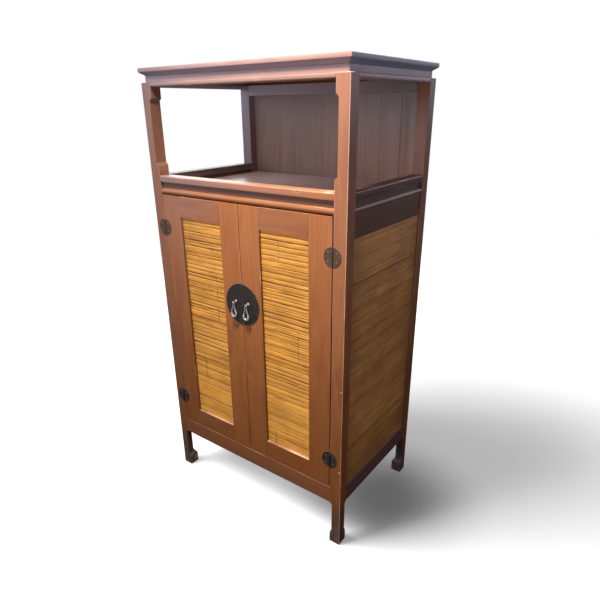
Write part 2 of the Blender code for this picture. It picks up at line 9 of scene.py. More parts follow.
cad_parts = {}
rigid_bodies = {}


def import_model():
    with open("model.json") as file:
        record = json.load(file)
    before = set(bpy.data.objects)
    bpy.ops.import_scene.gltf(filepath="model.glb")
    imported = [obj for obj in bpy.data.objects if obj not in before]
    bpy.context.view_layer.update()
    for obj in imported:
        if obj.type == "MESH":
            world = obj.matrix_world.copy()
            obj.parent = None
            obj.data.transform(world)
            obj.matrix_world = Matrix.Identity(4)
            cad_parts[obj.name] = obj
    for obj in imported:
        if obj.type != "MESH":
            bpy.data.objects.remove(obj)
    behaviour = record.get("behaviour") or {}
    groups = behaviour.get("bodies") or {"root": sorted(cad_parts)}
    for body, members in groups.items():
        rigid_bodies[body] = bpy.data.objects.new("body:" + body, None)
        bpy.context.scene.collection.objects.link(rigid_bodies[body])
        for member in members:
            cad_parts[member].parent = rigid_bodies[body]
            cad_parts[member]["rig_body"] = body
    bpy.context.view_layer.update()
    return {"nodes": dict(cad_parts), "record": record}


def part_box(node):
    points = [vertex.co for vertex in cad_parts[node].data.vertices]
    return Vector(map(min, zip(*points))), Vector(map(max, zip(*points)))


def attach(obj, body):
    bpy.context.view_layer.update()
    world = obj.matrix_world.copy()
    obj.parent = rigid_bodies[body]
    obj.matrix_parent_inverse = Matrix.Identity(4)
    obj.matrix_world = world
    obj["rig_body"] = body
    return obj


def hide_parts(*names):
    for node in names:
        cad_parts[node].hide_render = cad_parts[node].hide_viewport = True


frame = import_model()
scene = bpy.context.scene
scene.view_settings.view_transform = "Standard"
slotOf = {row["node"]: row["material_slot"] for row in frame["record"]["subparts"]}
dice = random.Random(11)
print("frame loaded:", len(frame["nodes"]), "nodes")


# node tools

def addNode(tree, kind, **settings):
    fresh = tree.nodes.new(kind)
    for key, value in settings.items():
        setattr(fresh, key, value)
    return fresh


def plug(tree, socket, value):
    if isinstance(value, bpy.types.NodeSocket):
        tree.links.new(value, socket)
    elif isinstance(value, (tuple, list)) and len(value) == 3 and len(socket.default_value) == 4:
        socket.default_value = (*value, 1.0)
    else:
        socket.default_value = value


def maths(tree, operation, *values):
    fresh = addNode(tree, "ShaderNodeMath", operation=operation)
    for socket, value in zip(fresh.inputs, values):
        plug(tree, socket, value)
    return fresh.outputs[0]


def times(tree, first, second):
    return maths(tree, "MULTIPLY", first, second)


def vectors(tree, operation, *values):
    fresh = addNode(tree, "ShaderNodeVectorMath", operation=operation)
    for socket, value in zip(fresh.inputs, values):
        plug(tree, socket, value)
    return fresh.outputs["Value" if operation in ("DISTANCE", "DOT_PRODUCT", "LENGTH") else "Vector"]


def fade(tree, value, fromLow, fromHigh, toLow=0.0, toHigh=1.0):
    fresh = addNode(tree, "ShaderNodeMapRange", interpolation_type="SMOOTHSTEP")
    for socket, number in zip(fresh.inputs, (value, fromLow, fromHigh, toLow, toHigh)):
        plug(tree, socket, number)
    return fresh.outputs[0]


def tint(tree, share, first, second, way="MIX"):
    fresh = addNode(tree, "ShaderNodeMix", data_type="RGBA", blend_type=way)
    for place, value in ((0, share), (6, first), (7, second)):
        plug(tree, fresh.inputs[place], value)
    return fresh.outputs[2]


def weigh(tree, first, share, second, otherShare):
    return maths(tree, "ADD", times(tree, first, share), times(tree, second, otherShare))


def cover(tree, colour, mask, share, paint):
    return tint(tree, times(tree, mask, share), colour, paint)


def heightOf(tree, place):
    fresh = addNode(tree, "ShaderNodeSeparateXYZ")
    plug(tree, fresh.inputs[0], place)
    return fresh.outputs["Z"]


def grey(tree, value):
    fresh = addNode(tree, "ShaderNodeCombineColor")
    for socket in fresh.inputs:
        plug(tree, socket, value)
    return fresh.outputs[0]


def grainNoise(tree, place, scale, detail=3.0, roughness=0.55):
    fresh = addNode(tree, "ShaderNodeTexNoise")
    for label, value in (("Vector", place), ("Scale", scale), ("Detail", detail),
                         ("Roughness", roughness)):
        plug(tree, fresh.inputs[label], value)
    return fresh.outputs["Fac"]


def newGroup(name, inputs, outputs):
    tree = bpy.data.node_groups.new(name, "ShaderNodeTree")
    for label, kind in inputs:
        tree.interface.new_socket(label, in_out="INPUT", socket_type="NodeSocket" + kind)
    for label in outputs:
        tree.interface.new_socket(label, in_out="OUTPUT", socket_type="NodeSocketFloat")
    return tree, addNode(tree, "NodeGroupInput").outputs, addNode(tree, "NodeGroupOutput").inputs


def useGroup(tree, group, **values):
    fresh = addNode(tree, "ShaderNodeGroup", node_tree=group)
    for label, value in values.items():
        plug(tree, fresh.inputs[label], value)
    return fresh.outputs


def attribute(tree, name):
    return addNode(tree, "ShaderNodeAttribute", attribute_name=name).outputs["Fac"]


def newMaterial(name, **constants):
    material = bpy.data.materials.new(name)
    material.use_nodes = True
    tree = material.node_tree
    shader = tree.nodes["Principled BSDF"]
    for label, value in constants.items():
        plug(tree, shader.inputs[label.replace("_", " ")], value)
    place = addNode(tree, "ShaderNodeTexCoord").outputs["Object"]
    return material, tree, shader, place


def bumpInto(tree, shader, height, distance):
    bump = addNode(tree, "ShaderNodeBump")
    bump.inputs["Distance"].default_value = distance
    plug(tree, bump.inputs["Height"], height)
    plug(tree, shader.inputs["Normal"], bump.outputs["Normal"])


# shared effects

def makeBoardGrain():
    tree, given, out = newGroup(
        "boardGrain", [("Place", "Vector"), ("Stretch", "Vector"), ("Seed", "Float")],
        ["Ring", "Streak", "Fibre", "Pore"])
    apart = addNode(tree, "ShaderNodeCombineXYZ")
    for socket, factor in zip(apart.inputs, (1.7, 3.1, 2.3)):
        plug(tree, socket, times(tree, given["Seed"], factor))
    moved = vectors(tree, "ADD", given["Place"], apart.outputs[0])
    along = vectors(tree, "MULTIPLY", moved, given["Stretch"])
    wander = grainNoise(tree, along, 9.0, 2.0)
    rings = maths(tree, "SINE", times(tree, wander, 95.0))
    plug(tree, out["Ring"], fade(tree, rings, -0.4, 1.0))
    plug(tree, out["Streak"], grainNoise(tree, along, 38.0, 3.0, 0.6))
    plug(tree, out["Fibre"], grainNoise(tree, along, 260.0, 3.0, 0.65))
    plug(tree, out["Pore"], fade(tree, grainNoise(tree, along, 620.0, 1.0, 0.5), 0.62, 0.74))
    return tree


def makeArrisWear():
    tree, given, out = newGroup(
        "arrisWear", [("Wear", "Float"), ("Place", "Vector"), ("Amount", "Float")], ["Rubbed", "Bare"])
    broad = grainNoise(tree, given["Place"], 7.0, 4.0, 0.6)
    fine = grainNoise(tree, given["Place"], 130.0, 2.0, 0.6)
    patches = weigh(tree, broad, 0.75, fine, 0.25)
    limit = maths(tree, "SUBTRACT", 0.78, times(tree, given["Amount"], 0.4))
    mask = fade(tree, maths(tree, "SUBTRACT", patches, limit), -0.06, 0.08)
    edge = fade(tree, given["Wear"], 0.15, 0.75)
    plug(tree, out["Rubbed"], times(tree, edge, fade(tree, broad, 0.3, 0.6, 0.25, 1.0)))
    plug(tree, out["Bare"], times(tree, edge, mask))
    return tree


def makeSpot():
    tree, given, out = newGroup(
        "knotSpot", [("Place", "Vector"), ("Centre", "Vector"), ("Radius", "Float")], ["Core", "Halo"])
    wobble = grainNoise(tree, given["Place"], 170.0, 2.0)
    away = vectors(tree, "DISTANCE", given["Place"], given["Centre"])
    share = maths(tree, "DIVIDE", away, given["Radius"])
    uneven = maths(tree, "ADD", share, times(tree, maths(tree, "SUBTRACT", wobble, 0.5), 0.9))
    plug(tree, out["Core"], fade(tree, uneven, 1.1, 0.55))
    plug(tree, out["Halo"], fade(tree, uneven, 3.2, 1.0))
    return tree


def makeFootGrime():
    tree, given, out = newGroup("footGrime", [("Place", "Vector")], ["Dirt", "Scuff", "Depth"])
    height = heightOf(tree, given["Place"])
    cloud = grainNoise(tree, given["Place"], 16.0, 4.0, 0.65)
    streaks = grainNoise(tree, vectors(tree, "MULTIPLY", given["Place"], (1.0, 1.0, 0.25)), 110.0, 3.0, 0.6)
    uneven = maths(tree, "ADD", height, times(tree, cloud, 0.10))
    # soot near the floor, partly painted shade of the low parts
    plug(tree, out["Dirt"], fade(tree, uneven, 0.30, 0.12))
    near = fade(tree, height, 0.10, 0.015)
    plug(tree, out["Scuff"], times(tree, near, fade(tree, streaks, 0.52, 0.68)))
    # painted shade: darker towards the floor, below about a metre
    plug(tree, out["Depth"], fade(tree, height, 0.25, 1.05, 0.69, 1.0))
    return tree


boardGrain, arrisWear = makeBoardGrain(), makeArrisWear()
knotSpot, footGrime = makeSpot(), makeFootGrime()


# finishes

lacquerSet = {
    "light": (0.362, 0.127, 0.034),
    "dark": (0.318, 0.105, 0.027),
    "patch": (0.270, 0.076, 0.026),
    "fibre": (0.190, 0.052, 0.015),
    "rubbed": (0.72, 0.46, 0.30),
    "bare": (0.78, 0.62, 0.47),
    "soot": (0.040, 0.030, 0.024),
    "scuff": (0.34, 0.30, 0.26),
    "knot": (0.100, 0.034, 0.018),
    "halo": (0.500, 0.230, 0.110),
    "dust": (0.29, 0.30, 0.37),  # dust, and the room's bluish sheen painted in
    "wear": 0.42,
}
knots = [  # centre, radius
    ((-0.106, -0.272, 1.594), 0.0042),
    ((0.101, -0.267, 1.552), 0.0042),
    ((0.239, -0.267, 1.252), 0.0044),
    ((-0.268, -0.267, 1.148), 0.0038),
    ((0.016, -0.267, 0.577), 0.0044),
]
nicks = [  # pale spots on the arrises
    ((0.404, -0.267, 0.323), 0.0030),
    ((0.410, -0.267, 0.900), 0.0026),
    ((0.404, -0.267, 0.637), 0.0026),
    ((0.410, 0.262, 0.234), 0.0030),
]
stretchSet = {"board": 0.055, "patch": 0.2, "bamboo": 0.03}     # grain is drawn out along its board


def stretched(along, share):
    return tuple(share if axis == along else 1.0 for axis in range(3))


def grainAlong(tree, place, along, kind):
    stretch = stretched(along, stretchSet[kind])
    return useGroup(tree, boardGrain, Place=place, Stretch=stretch, Seed=attribute(tree, "seed"))


def makeLacquer(name, along):
    look = lacquerSet
    material, tree, shader, place = newMaterial(name, Coat_Weight=0.3, Coat_Roughness=0.32, IOR=1.48)
    grain = grainAlong(tree, place, along, "board")
    body = weigh(tree, grain["Streak"], 0.75, grain["Ring"], 0.25)
    colour = tint(tree, fade(tree, body, 0.22, 0.70), look["dark"], look["light"])
    drawn = vectors(tree, "MULTIPLY", place, stretched(along, stretchSet["patch"]))
    patch = grainNoise(tree, drawn, 26.0, 3.0, 0.5)
    colour = tint(tree, fade(tree, patch, 0.50, 0.66, 0.0, 0.6), colour, look["patch"])
    colour = tint(tree, fade(tree, grain["Fibre"], 0.62, 0.42, 0.0, 0.06), colour, look["fibre"])
    colour = cover(tree, colour, grain["Pore"], 0.06, look["fibre"])
    grime = useGroup(tree, footGrime, Place=place)
    strength = times(tree, attribute(tree, "tone"), grime["Depth"])
    # painted shade: tone times the height fade, darker and redder low down
    deep = addNode(tree, "ShaderNodeCombineColor")
    for socket, power in zip(deep.inputs, (0.0, 0.15, 0.9)):
        plug(tree, socket, times(tree, strength, maths(tree, "POWER", grime["Depth"], power)))
    colour = tint(tree, 1.0, colour, deep.outputs[0], "MULTIPLY")
    for centre, radius in knots:
        spot = useGroup(tree, knotSpot, Place=place, Centre=centre, Radius=radius)
        colour = cover(tree, colour, spot["Halo"], 0.4, look["halo"])
        colour = cover(tree, colour, spot["Core"], 0.9, look["knot"])
    # soot on the feet, partly painted shade
    colour = cover(tree, colour, grime["Dirt"], 0.72, look["soot"])
    wear = useGroup(tree, arrisWear, Wear=attribute(tree, "wear"), Place=place, Amount=look["wear"])
    # pale rubbed arrises; on some upper rail edges a painted highlight
    rub = maths(tree, "ADD", attribute(tree, "rub"), 0.15)
    colour = cover(tree, colour, wear["Rubbed"], rub, look["rubbed"])
    colour = cover(tree, colour, wear["Bare"], 0.65, look["bare"])
    colour = cover(tree, colour, grime["Scuff"], 0.55, look["scuff"])
    for centre, radius in nicks:
        spot = useGroup(tree, knotSpot, Place=place, Centre=centre, Radius=radius)
        colour = tint(tree, spot["Core"], colour, look["bare"])
    # dust and painted sheen: a bluish grey laid over the colour
    colour = tint(tree, attribute(tree, "dust"), colour, look["dust"])
    plug(tree, shader.inputs["Base Color"], colour)
    cloud = grainNoise(tree, place, 11.0, 3.0)
    rough = fade(tree, cloud, 0.3, 0.7, 0.38, 0.46)
    rough = maths(tree, "ADD", rough, times(tree, grime["Dirt"], 0.2))
    rough = maths(tree, "SUBTRACT", rough, attribute(tree, "polish"))
    plug(tree, shader.inputs["Roughness"], rough)
    bumpInto(tree, shader, weigh(tree, grain["Fibre"], 0.6, grain["Pore"], -0.5), 0.00009)
    return material


insideSet = {"light": (0.162, 0.092, 0.062), "dark": (0.141, 0.079, 0.053), "fibre": (0.09, 0.048, 0.032),
             "haze": (0.130, 0.116, 0.138)}


def makeInsideWood(name, along):
    look = insideSet
    material, tree, shader, place = newMaterial(name, IOR=1.46)
    grain = grainAlong(tree, place, along, "board")
    body = weigh(tree, grain["Streak"], 0.6, grain["Ring"], 0.4)
    colour = tint(tree, fade(tree, body, 0.2, 0.75), look["dark"], look["light"])
    colour = tint(tree, fade(tree, grain["Fibre"], 0.62, 0.42, 0.0, 0.08), colour, look["fibre"])
    colour = tint(tree, 1.0, colour, grey(tree, attribute(tree, "tone")), "MULTIPLY")
    # painted sheen: mauve grey near the top of the niche
    colour = tint(tree, fade(tree, heightOf(tree, place), 1.33, 1.50, 0.0, 0.35), colour, look["haze"])
    plug(tree, shader.inputs["Base Color"], colour)
    plug(tree, shader.inputs["Roughness"], fade(tree, grain["Streak"], 0.3, 0.7, 0.5, 0.66))
    bumpInto(tree, shader, grain["Fibre"], 0.00008)
    return material


bambooLook = {
    "light": (0.840, 0.405, 0.056),
    "dark": (0.690, 0.305, 0.036),
    "hair": (0.300, 0.110, 0.014),
    "joint": (0.200, 0.075, 0.014),
    # dark crack edges, darker on the lower edges: partly painted shade
    "edge": (0.240, 0.078, 0.010),
}


def makeBamboo(name, along, stain):
    look = bambooLook
    material, tree, shader, place = newMaterial(name, Coat_Weight=0.2, Coat_Roughness=0.3, IOR=1.46)
    grain = grainAlong(tree, place, along, "bamboo")
    colour = tint(tree, fade(tree, grain["Streak"], 0.3, 0.68), look["dark"], look["light"])
    hair = fade(tree, grain["Fibre"], 0.46, 0.36)
    colour = cover(tree, colour, hair, 0.55, look["hair"])
    cloud = grainNoise(tree, vectors(tree, "MULTIPLY", place, (1.0, 1.0, 1.8)), 9.0, 3.0, 0.6)
    blotch = fade(tree, cloud, 0.35, 0.65, 0.86, 1.10)
    deep = times(tree, attribute(tree, "tone"), blotch)
    colour = tint(tree, 1.0, colour, grey(tree, deep), "MULTIPLY")
    colour = tint(tree, 1.0, colour, stain, "MULTIPLY")
    # dark crack edges and the dark top strip, partly painted shade
    colour = tint(tree, attribute(tree, "wear"), colour, look["edge"])
    colour = tint(tree, attribute(tree, "joint"), colour, look["joint"])
    plug(tree, shader.inputs["Base Color"], colour)
    plug(tree, shader.inputs["Roughness"], fade(tree, grain["Streak"], 0.3, 0.7, 0.36, 0.5))
    bumpInto(tree, shader, weigh(tree, grain["Fibre"], 1.0, hair, -0.6), 0.0003)
    return material


ironLook = {
    "black": (0.021, 0.0195, 0.0165),
    "brown": (0.105, 0.060, 0.032),
    "bare": (0.55, 0.53, 0.50),
    "hollow": (0.16, 0.15, 0.14),
}


def makeBlackIron():
    look = ironLook
    material, tree, shader, place = newMaterial("blackIron", IOR=1.3)
    cloud = grainNoise(tree, place, 60.0, 4.0, 0.65)
    pits = grainNoise(tree, place, 420.0, 2.0, 0.6)
    rusty = maths(tree, "ADD", fade(tree, cloud, 0.45, 0.80, 0.0, 0.25), attribute(tree, "rust"))
    colour = tint(tree, rusty, look["black"], look["brown"])
    # pale worn rims, which also stand for a painted highlight round the plates
    wear = useGroup(tree, arrisWear, Wear=attribute(tree, "wear"), Place=place, Amount=0.8)
    colour = cover(tree, colour, wear["Bare"], 0.35, look["bare"])
    colour = cover(tree, colour, attribute(tree, "nail"), 0.3, look["bare"])
    plug(tree, shader.inputs["Base Color"], colour)
    plug(tree, shader.inputs["Roughness"], fade(tree, cloud, 0.3, 0.7, 0.50, 0.62))
    bumpInto(tree, shader, weigh(tree, cloud, 1.0, pits, 0.5), 0.00010)
    return material


def makeWornIron():
    look = ironLook
    material, tree, shader, place = newMaterial("wornIron", Metallic=0.45)
    cloud = grainNoise(tree, place, 130.0, 4.0, 0.6)
    pits = grainNoise(tree, place, 900.0, 2.0, 0.6)
    colour = tint(tree, fade(tree, cloud, 0.36, 0.56), look["hollow"], look["bare"])
    plug(tree, shader.inputs["Base Color"], colour)
    plug(tree, shader.inputs["Roughness"], fade(tree, cloud, 0.3, 0.7, 0.40, 0.24))
    bumpInto(tree, shader, weigh(tree, cloud, 1.0, pits, 0.4), 0.0002)
    return material


lacquer = {axis: makeLacquer("lacquerAlong" + "XYZ"[axis], axis) for axis in range(3)}
insideWood = {axis: makeInsideWood("insideWoodAlong" + "XYZ"[axis], axis) for axis in range(3)}
# the sides' copy is stained much bluer: painted bluish shade of the cabinet's sides
bambooAlong = {0: makeBamboo("bambooAlongX", 0, (0.84, 0.81, 0.86)),
               1: makeBamboo("bambooAlongY", 1, (0.86, 0.80, 1.55))}
blackIron, wornIron = makeBlackIron(), makeWornIron()
print("finishes made")


# modelling tools

def pickOnly(*chosen):
    bpy.ops.object.select_all(action="DESELECT")
    for piece in chosen:
        piece.select_set(True)
    bpy.context.view_layer.objects.active = chosen[0]
    return chosen[0]


def editOn(piece, mode="EDGE", everything=False):
    pickOnly(piece)
    bpy.ops.object.mode_set(mode="EDIT")
    bpy.ops.mesh.select_mode(type=mode)
    bpy.ops.mesh.select_all(action="SELECT" if everything else "DESELECT")


def editOff():
    bpy.ops.object.mode_set(mode="OBJECT")


def pickEdges(piece, wanted):
    editOn(piece)
    editOff()
    points = piece.data.vertices
    for edge in piece.data.edges:
        edge.select = wanted(points[edge.vertices[0]].co, points[edge.vertices[1]].co)
    bpy.ops.object.mode_set(mode="EDIT")


def bevelEdges(piece, wanted, offset, steps):
    pickEdges(piece, wanted)
    bpy.ops.mesh.bevel(offset=offset, segments=steps, affect="EDGES")
    editOff()


def pickFaces(piece, wanted):
    editOn(piece, "FACE")
    editOff()
    for face in piece.data.polygons:
        face.select = wanted(face.center, face.normal)
    bpy.ops.object.mode_set(mode="EDIT")


def settle(piece):
    pickOnly(piece)
    bpy.ops.object.transform_apply(location=True, rotation=True, scale=True)
    return piece


def sawBlock(low, high):
    low, high = Vector(low), Vector(high)
    bpy.ops.object.select_all(action="DESELECT")
    bpy.ops.mesh.primitive_cube_add(size=1.0, location=(low + high) / 2)
    block = bpy.context.object
    block.scale = high - low
    return settle(block)


def joinAll(pieces):
    pickOnly(*pieces)
    bpy.ops.object.join()
    return pieces[0]


def surfaceOf(piece):
    mesh = piece.data
    return BVHTree.FromPolygons([point.co.copy() for point in mesh.vertices],
                                [tuple(face.vertices) for face in mesh.polygons])


def faceWidths(piece):
    points = piece.data.vertices
    widths = []
    for face in piece.data.polygons:
        ring = [points[i].co for i in face.vertices]
        longest = max((a - b).length for a, b in zip(ring, ring[1:] + ring[:1]))
        widths.append(face.area / max(longest, 1e-6))
    return widths


def writeValues(piece, name, values):
    layer = piece.data.attributes.get(name) or piece.data.attributes.new(name, "FLOAT", "POINT")
    layer.data.foreach_set("value", values)


def setValue(piece, name, value):
    writeValues(piece, name, [value] * len(piece.data.vertices))


def spreadValue(piece, name, along, ends, power=1.0):
    places = [point.co[along] for point in piece.data.vertices]
    low, high = min(places), max(places)
    shares = [((place - low) / (high - low)) ** power for place in places]
    writeValues(piece, name, [ends[0] + (ends[1] - ends[0]) * share for share in shares])


def scaleValue(piece, name, factor):
    for point, value in zip(piece.data.vertices, piece.data.attributes[name].data):
        value.value *= factor(point.co)


def rubTop(piece, depth, ends):      # a worn, pale upper edge that also stands for a painted highlight
    spreadValue(piece, "rub", 0, ends)
    top = max(point.co.z for point in piece.data.vertices)
    for point in piece.data.vertices:
        if point.co.z > top - depth:
            piece.data.attributes["wear"].data[point.index].value = 1.0
        else:
            piece.data.attributes["rub"].data[point.index].value = 0.0


arrisSet = {
    "steps": 3, "ring": 0.042, "endRadius": 0.0005,
    "sharp": 35,         # degrees, from here an edge is rounded
    "narrow": 0.0020,    # faces that are worn all over
    "touch": 0.00004,    # nearer to the sharp shape, a point isn't on the rounding
    "dent": 0.0005, "dentScale": 55, "dentLevel": 0.05,
}


def wearArrises(piece, sharp, widths, dent):
    look = arrisSet
    points = piece.data.vertices
    shift = Vector((dice.uniform(0, 40), dice.uniform(0, 40), dice.uniform(0, 40)))
    worn = [0.0] * len(points)
    moves = {}
    for point in points:
        spot, normal, face, away = sharp.find_nearest(point.co)
        inside = away > look["touch"] and (spot - point.co).dot(normal) > 0
        if inside or widths[face] < look["narrow"]:
            worn[point.index] = 1.0
            depth = dent * max(0.0, noise.noise(point.co * look["dentScale"] + shift) - look["dentLevel"])
            moves[point.index] = point.normal * depth
    for index, move in moves.items():
        points[index].co -= move
    writeValues(piece, "wear", worn)


def runsAlong(axis):
    return lambda a, b: abs((b - a).normalized()[axis]) > 0.999


def planeBoard(low, high, along, radius):
    low, high = Vector(low), Vector(high)
    board = sawBlock(low, high)
    rings = int((high - low)[along] / arrisSet["ring"])
    if rings > 0:
        pickEdges(board, runsAlong(along))
        bpy.ops.mesh.subdivide(number_cuts=rings)
        editOff()
    sharp, widths = surfaceOf(board), faceWidths(board)
    bevelEdges(board, runsAlong(along), radius, arrisSet["steps"])
    ends = (low[along], high[along])
    bevelEdges(board, lambda a, b: any(abs(a[along] - e) < 1e-6 and abs(b[along] - e) < 1e-6 for e in ends),
               arrisSet["endRadius"], 1)
    wearArrises(board, sharp, widths, arrisSet["dent"])
    return board


def copyNode(node):
    piece = bpy.data.objects.new(node, frame["nodes"][node].data.copy())
    scene.collection.objects.link(piece)
    pickOnly(piece)
    bpy.ops.mesh.customdata_custom_splitnormals_clear()
    editOn(piece, "VERT", True)
    bpy.ops.mesh.remove_doubles(threshold=0.00001)
    bpy.ops.mesh.dissolve_limited(angle_limit=math.radians(0.2))
    editOff()
    return piece


def cutRings(piece, along, step):
    places = [point.co[along] for point in piece.data.vertices]
    low, high = min(places), max(places)
    count = int((high - low) / step)
    normal = Vector([float(axis == along) for axis in range(3)])
    for i in range(1, count):
        editOn(piece, "VERT", True)
        bpy.ops.mesh.bisect(plane_co=normal * (low + (high - low) * i / count), plane_no=normal)
        editOff()


def roundArrises(piece, radius, dent):
    sharp, widths = surfaceOf(piece), faceWidths(piece)
    editOn(piece)
    bpy.ops.mesh.edges_select_sharp(sharpness=math.radians(arrisSet["sharp"]))
    bpy.ops.mesh.bevel(offset=radius, segments=2, affect="EDGES", clamp_overlap=True)
    editOff()
    wearArrises(piece, sharp, widths, dent)


def finishPiece(piece, name, node, material, smooth=35, replaces=True):
    piece.name = piece.data.name = name
    piece.data.materials.clear()
    piece.data.materials.append(material)
    pickOnly(piece)
    bpy.ops.object.shade_smooth_by_angle(angle=math.radians(smooth))
    bpy.ops.object.modifier_add(type="WEIGHTED_NORMAL")
    piece.modifiers[-1].keep_sharp = True
    bpy.ops.object.modifier_apply(modifier=piece.modifiers[-1].name)
    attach(piece, frame["nodes"][node]["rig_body"])
    if replaces:
        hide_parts(node)


def finishBoard(piece, node, along, tone):
    setValue(piece, "seed", dice.uniform(0.0, 30.0))
    setValue(piece, "tone", tone)
    woods = insideWood if slotOf[node] == "inside_wood" else lacquer
    finishPiece(piece, node + "_planed", node, woods[along])


# straight boards, planed from blocks

straightSet = {  # arris radius, strength of the colour and its painted shade by side, dust and painted sheen from end to end
    "frieze": {"radius": 0.0010, "tone": 1.04, "shade": {"right": 0.75},
               "dust": {"front": (0.44, 0.35), "right": (0.42, 0.42), "left": (0.45, 0.45)}},
    "top_rail": {"radius": 0.0040, "tone": 0.95, "shade": {"front": 0.74},
                 "dust": {"front": (0.34, 0.18), "right": (0.45, 0.45), "left": (0.80, 0.80)}},
    "shelf_rail": {"radius": 0.0040, "tone": 1.0, "shade": {"right": 0.28, "left": 0.34},
                   "dust": {"front": (0.32, 0.0), "left": (0.30, 0.30)}},
    "bottom_rail": {"radius": 0.0018, "tone": 0.98, "shade": {"right": 0.74, "left": 0.74},
                    "dust": {"front": (0.02, 0.02), "right": (0.12, 0.12), "left": (0.12, 0.12)}},
    # side boards darkened: painted shade of the cabinet's side
    "side_board": {"radius": 0.0012, "tone": 0.31},
}
# front niche rail: darker to the left, painted shade; pale top edge, a painted highlight on a worn edge,
# stronger to the left
nicheFront = {"rubDepth": 0.0024, "rub": (0.32, 0.05), "tone": (0.72, 1.0)}
# back top rail: darker to the right, painted shade; dust and painted sheen to the left; rougher
nicheBack = {"radius": 0.0015, "tone": (0.50, 0.10), "dust": (0.52, 0.0), "polish": -0.25}
for family, look in straightSet.items():
    for side in ("front", "right", "left", "back"):
        node = f"{family}_{side}"
        if node not in frame["nodes"] or node in ("top_rail_back", "shelf_rail_back"):
            continue
        along = 0 if side in ("front", "back") else 1
        board = planeBoard(*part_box(node), along, look["radius"])
        spreadValue(board, "dust", along, look.get("dust", {}).get(side, (0.0, 0.0)))
        if node == "shelf_rail_front":
            rubTop(board, nicheFront["rubDepth"], nicheFront["rub"])
        # darker by side: painted shade
        tone = look["tone"] * look.get("shade", {}).get(side, 1.0)
        finishBoard(board, node, along, tone * dice.uniform(0.97, 1.03))
        if node == "shelf_rail_front":
            spreadValue(board, "tone", 0, nicheFront["tone"])
node = "top_rail_back"
board = planeBoard(*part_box(node), 0, nicheBack["radius"])
finishBoard(board, node, 0, nicheBack["tone"][0])
setValue(board, "polish", nicheBack["polish"])
spreadValue(board, "dust", 0, nicheBack["dust"])
spreadValue(board, "tone", 0, nicheBack["tone"])

doorSet = {  # pairs are for the left and the right door
    "lock_stile": {"along": 2, "radius": 0.0016, "tone": (1.03, 1.05)},
    "hinge_stile": {"along": 2, "radius": 0.0016, "tone": (0.91, 0.94),
                    "dust": ((0.0, 0.11), (0.0, 0.0)), "power": 3.0},
    "bottom_rail": {"along": 0, "radius": 0.0013, "tone": (0.94, 0.98), "rub": (0.0010, (0.50, 0.50))},
    "top_rail": {"along": 0, "radius": 0.0013, "tone": (0.80, 0.82),
                 "dust": ((0.13, 0.05), (0.03, 0.0)), "power": 1.0},
}
doorGrime = {"reach": 0.0012, "gap": 0.3, "panel": 0.45}
for right, side in enumerate(("left", "right")):
    for part, look in doorSet.items():
        node = f"{side}_door_{part}"
        board = planeBoard(*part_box(node), look["along"], look["radius"])
        if "dust" in look:
            spreadValue(board, "dust", look["along"], look["dust"][right], look["power"])
        # pale top edge of the bottom rail: a painted highlight on a worn edge
        if "rub" in look:
            rubTop(board, *look["rub"])
        finishBoard(board, node, look["along"], look["tone"][right] * dice.uniform(0.98, 1.02))
        if part == "hinge_stile":      # painted shade in the gap beside the post
            limit = max(abs(point.co.x) for point in board.data.vertices) - doorGrime["reach"]
            scaleValue(board, "tone", lambda at: doorGrime["gap"] if abs(at.x) > limit else 1.0)
        if node in ("left_door_hinge_stile", "right_door_lock_stile"):      # painted shade beside the panel
            limit = max(point.co.x for point in board.data.vertices) - doorGrime["reach"]
            scaleValue(board, "tone", lambda at: doorGrime["panel"] if at.x > limit else 1.0)
print("straight boards planed")


# shaped members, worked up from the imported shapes

postLook = {"along": 2, "radius": 0.0006, "dent": 0.0007}
corniceLook = {"radius": 0.0009, "dent": 0.0004}
apronLook = {"radius": 0.0006, "dent": 0.0003, "waist": 0.5}
panelLook = {"along": 0, "radius": 0.0008, "tone": 1.0, "dent": 0.0}
shelfLook = {"dust": (0.62, 0.38), "polish": 0.20}
shapedSet = {
    "post_front_left": {**postLook, "tone": 0.82, "top": 0.80, "dust": (0.02, 0.14)},
    "post_front_right": {**postLook, "tone": 0.98, "top": 0.80, "dust": (0.0, 0.07), "rub": 0.9,
                         "flank": (1.7, 0.75)},
    "post_back_left": {**postLook, "tone": 0.98, "top": 0.66, "dust": (0.04, 0.60)},
    "post_back_right": {**postLook, "tone": 1.08, "top": 0.85, "dust": (0.06, 0.06), "flank": (1.3, 0.50)},
    "cornice_front": {**corniceLook, "along": 0, "tone": 1.0, "dust": (0.50, 0.30), "cove": 0.75},
    "cornice_right": {**corniceLook, "along": 1, "tone": 1.0, "dust": (0.85, 0.85), "cove": 1.0},
    "cornice_back": {**corniceLook, "along": 0, "tone": 0.97},
    "cornice_left": {**corniceLook, "along": 1, "tone": 1.0},
    "shelf_apron_front": {**apronLook, "along": 0, "tone": 0.82, "dust": (0.03, 0.0)},
    # side aprons darker: painted shade of the cabinet's sides
    "shelf_apron_right": {**apronLook, "along": 1, "tone": 0.60},
    "shelf_apron_left": {**apronLook, "along": 1, "tone": 0.60},
    "shelf_rail_back": {**panelLook, **shelfLook, "radius": 0.0006},
    "top_panel": panelLook,
    "shelf_panel": {**panelLook, **shelfLook},
    "cupboard_floor": panelLook,
}
shapedShare = {"beadHeight": 0.0182, "facing": 0.95, "flankPower": 4, "topDust": 0.2, "postPower": 2.0}


def pointsFacing(piece, axis):
    return {index for face in piece.data.polygons if face.normal[axis] > shapedShare["facing"]
            for index in face.vertices}


